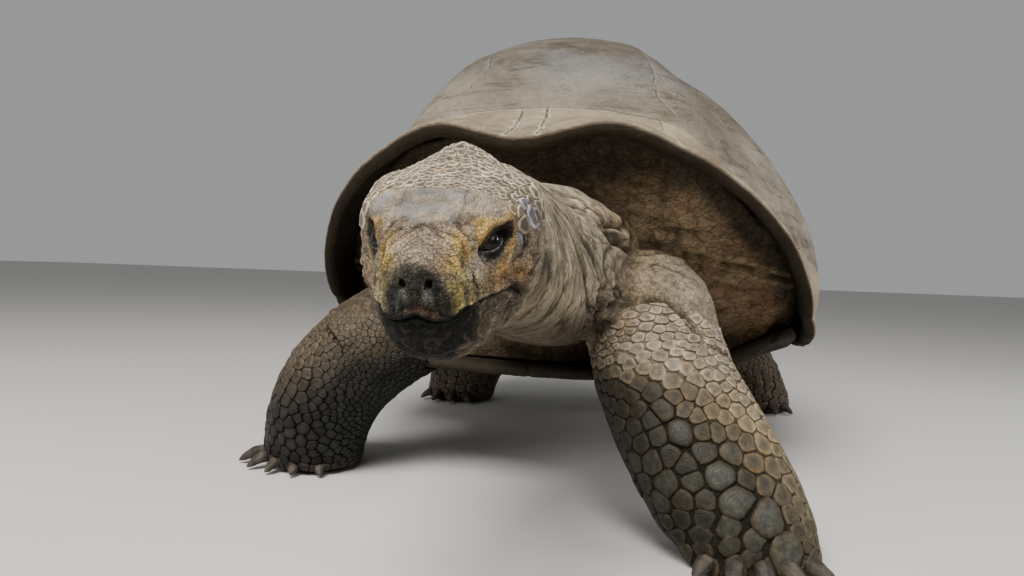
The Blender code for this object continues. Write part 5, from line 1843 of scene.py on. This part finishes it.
def makeClaws(foot, count):
    names = [f"claw_{foot}_{k + 1}" for k in range(count)]
    mesh = applied(joined([looseCopy(n, 0.0004) for n in names]), "REMESH", mode="VOXEL",
                   voxel_size=clawForm["voxel"])
    setPlaces(mesh, relax(placesOf(mesh), edgesOf(mesh), 16, keep=False))
    points = placesOf(mesh) + normalsOf(mesh) * 0.0006
    setPlaces(mesh, points)
    ribs = noise(points, (0.004, 0.004, 0.0015), 3) * clawForm["ridges"]
    setPlaces(mesh, points + normalsOf(mesh) * ribs[:, None])
    mesh = lighter(mesh, 0.5)
    return finishPiece("claws_" + foot, mesh, clawHorn(), "claw_horn", *names)


def clawHorn():
    material, place = newMaterial("worn_claw_horn"), objectPlace()
    colour = blended(ranged(noiseValue(place, 60.0, 6), 0.35, 0.7), (0.02, 0.017, 0.014),
                     (0.07, 0.057, 0.043))
    streak = noiseValue(stretched(place, 1, 1, 6), 150.0, 3)
    colour = blended(ranged(streak, 0.5, 0.7, (0, 0.6)), colour, (0.035, 0.028, 0.022))
    return dressed(material, colour, 0.58, 0.2, bumped(streak, 0.0006, 0.5))


# ---- beak ----
beakForm = {"turn": 54, "stations": 66, "rows": 6, "upper": 0.0042, "lower": 0.003, "thick": 0.0004}


def makeBeak(name, sign, ground):
    # A band of horn along the mouth's edge, above it or below it, lying on the skin and let into it.
    form = beakForm
    turns = np.radians(np.linspace(-form["turn"], form["turn"], form["stations"]))
    rows = form["rows"]
    back = np.stack([headForward, headLeft, headUp])
    outer, inner = np.empty((len(turns), rows, 3)), np.empty((len(turns), rows, 3))
    for k, turn in enumerate(turns):
        aim = np.array([math.cos(turn), math.sin(turn), 0.0])
        level = -0.04
        for _ in range(4):
            hit = castHead(aim, level, ground, back)
            level = float(mouthHeight(hit[None])[0])
        taper = math.cos(math.pi / 2 * (k / (len(turns) - 1) * 2 - 1)) ** 0.5
        tall = form["upper" if sign > 0 else "lower"] * (0.25 + 0.75 * taper)
        for j in range(rows):
            share = j / (rows - 1)
            edge = 0.0007 * noise(np.array([[turn * 0.05, share * 0.01, sign]]), 0.004, 401)[0] * share
            hit = castHead(aim, level + sign * (0.0004 + share * tall + edge), ground, back)
            swell = math.sin(math.pi * min(share * 0.9 + 0.1, 1)) + 0.5 * (1 - share)
            proud = form["thick"] * taper * swell
            outer[k, j] = headMid + (hit + aim * proud) @ back
            inner[k, j] = headMid + (hit - aim * 0.0016) @ back
    loop = np.concatenate([outer, inner[:, ::-1]], axis=1)
    n = 2 * rows
    faces = [(k * n + j, (k + 1) * n + j, (k + 1) * n + (j + 1) % n, k * n + (j + 1) % n)
             for k in range(len(turns) - 1) for j in range(n)]
    faces += [tuple(range(n)), tuple(reversed(range((len(turns) - 1) * n, len(turns) * n)))]
    mesh = facedOut(meshFrom(name, loop.reshape(-1, 3), faces))
    return finishPiece(name, mesh, beakHorn(), "beak_horn")


def castHead(aim, level, ground, back):
    # The skin's place at a height, looking in from outside along aim, in the frame of the head.
    start = np.array([0.015, 0.0, level]) + aim * 0.15
    found = ground.ray_cast(Vector(headMid + start @ back), Vector(-aim @ back))
    return inHead(np.array(found[0])[None])[0]


def beakHorn():
    material, place = newMaterial("dark_beak_horn"), objectPlace()
    colour = blended(ranged(noiseValue(place, 110.0, 6), 0.4, 0.7), (0.002, 0.0024, 0.002),
                     (0.007, 0.007, 0.005))
    streaks = noiseValue(stretched(place, 1, 1, 0.18), 420.0, 4)
    colour = blended(ranged(streaks, 0.58, 0.78, (0, 0.4)), colour, (0.04, 0.032, 0.02))
    return dressed(material, colour, 0.7, 0.12, bumped(streaks, 0.0005, 0.6))


# ---- eyes ----
eyeForm = {"across": 48, "down": 32, "outward": (0.51, 0.86)}


def makeEye(name, side):
    centre = middleOf(name)
    low, high = boxOf(name)
    radius = float((high - low).max()) / 2
    bm = bmesh.new()
    bmesh.ops.create_uvsphere(bm, u_segments=eyeForm["across"], v_segments=eyeForm["down"], radius=radius)
    outward = unit(headForward * eyeForm["outward"][0] + headLeft * side * eyeForm["outward"][1])
    turn = Vector(outward).to_track_quat("Z", "Y").to_matrix().to_4x4()
    bm.transform(Matrix.Translation(Vector(centre)) @ turn)
    mesh = bpy.data.meshes.new(name)
    bm.to_mesh(mesh)
    bm.free()
    local = placesOf(mesh) - centre
    facing = local @ outward / radius
    cornea = 0.0011 * smooth(facing, 0.8, 0.93)
    setPlaces(mesh, centre + local * (1 + cornea / radius)[:, None])
    writeValues(mesh, "facing", facing)
    return finishPiece(name + "_ball", mesh, eyeGloss(), "dark_eye", name)


def eyeGloss():
    material, facing = newMaterial("wet_eye"), attribute("facing")
    iris = ranged(noiseValue(objectPlace(), 900.0, 4), 0.4, 0.65)
    iris = blended(iris, (0.004, 0.003, 0.003), (0.012, 0.008, 0.005))
    colour = blended(ranged(facing, 0.72, 0.8), (0.01, 0.008, 0.007), iris)
    colour = blended(ranged(facing, 0.935, 0.95), colour, (0.002, 0.002, 0.002))
    return dressed(material, colour, 0.05, 0.2)


placeCamera(cameraLook)
makeStudio()
print("studio ready")
shell = makeShell()
print("shell ready")
plastron = makePlastron()
eyes = [makeEye("eye_left", 1), makeEye("eye_right", -1)]
claws = [makeClaws(foot, count) for foot, count in clawCounts.items()]
print("plastron, eyes and claws ready")
skin, roots = makeSkin(shell)
print("skin ready")
ground = surfaceTree(skin.data)
scaleGroup, horn = scaleNodes(), scaleHorn()
scales = [makeScales(name, roots, scaleGroup, horn, ground) for name in limbLines]
beak = [makeBeak("beak_upper", 1, ground), makeBeak("beak_lower", -1, ground)]
print("scales and beak ready")
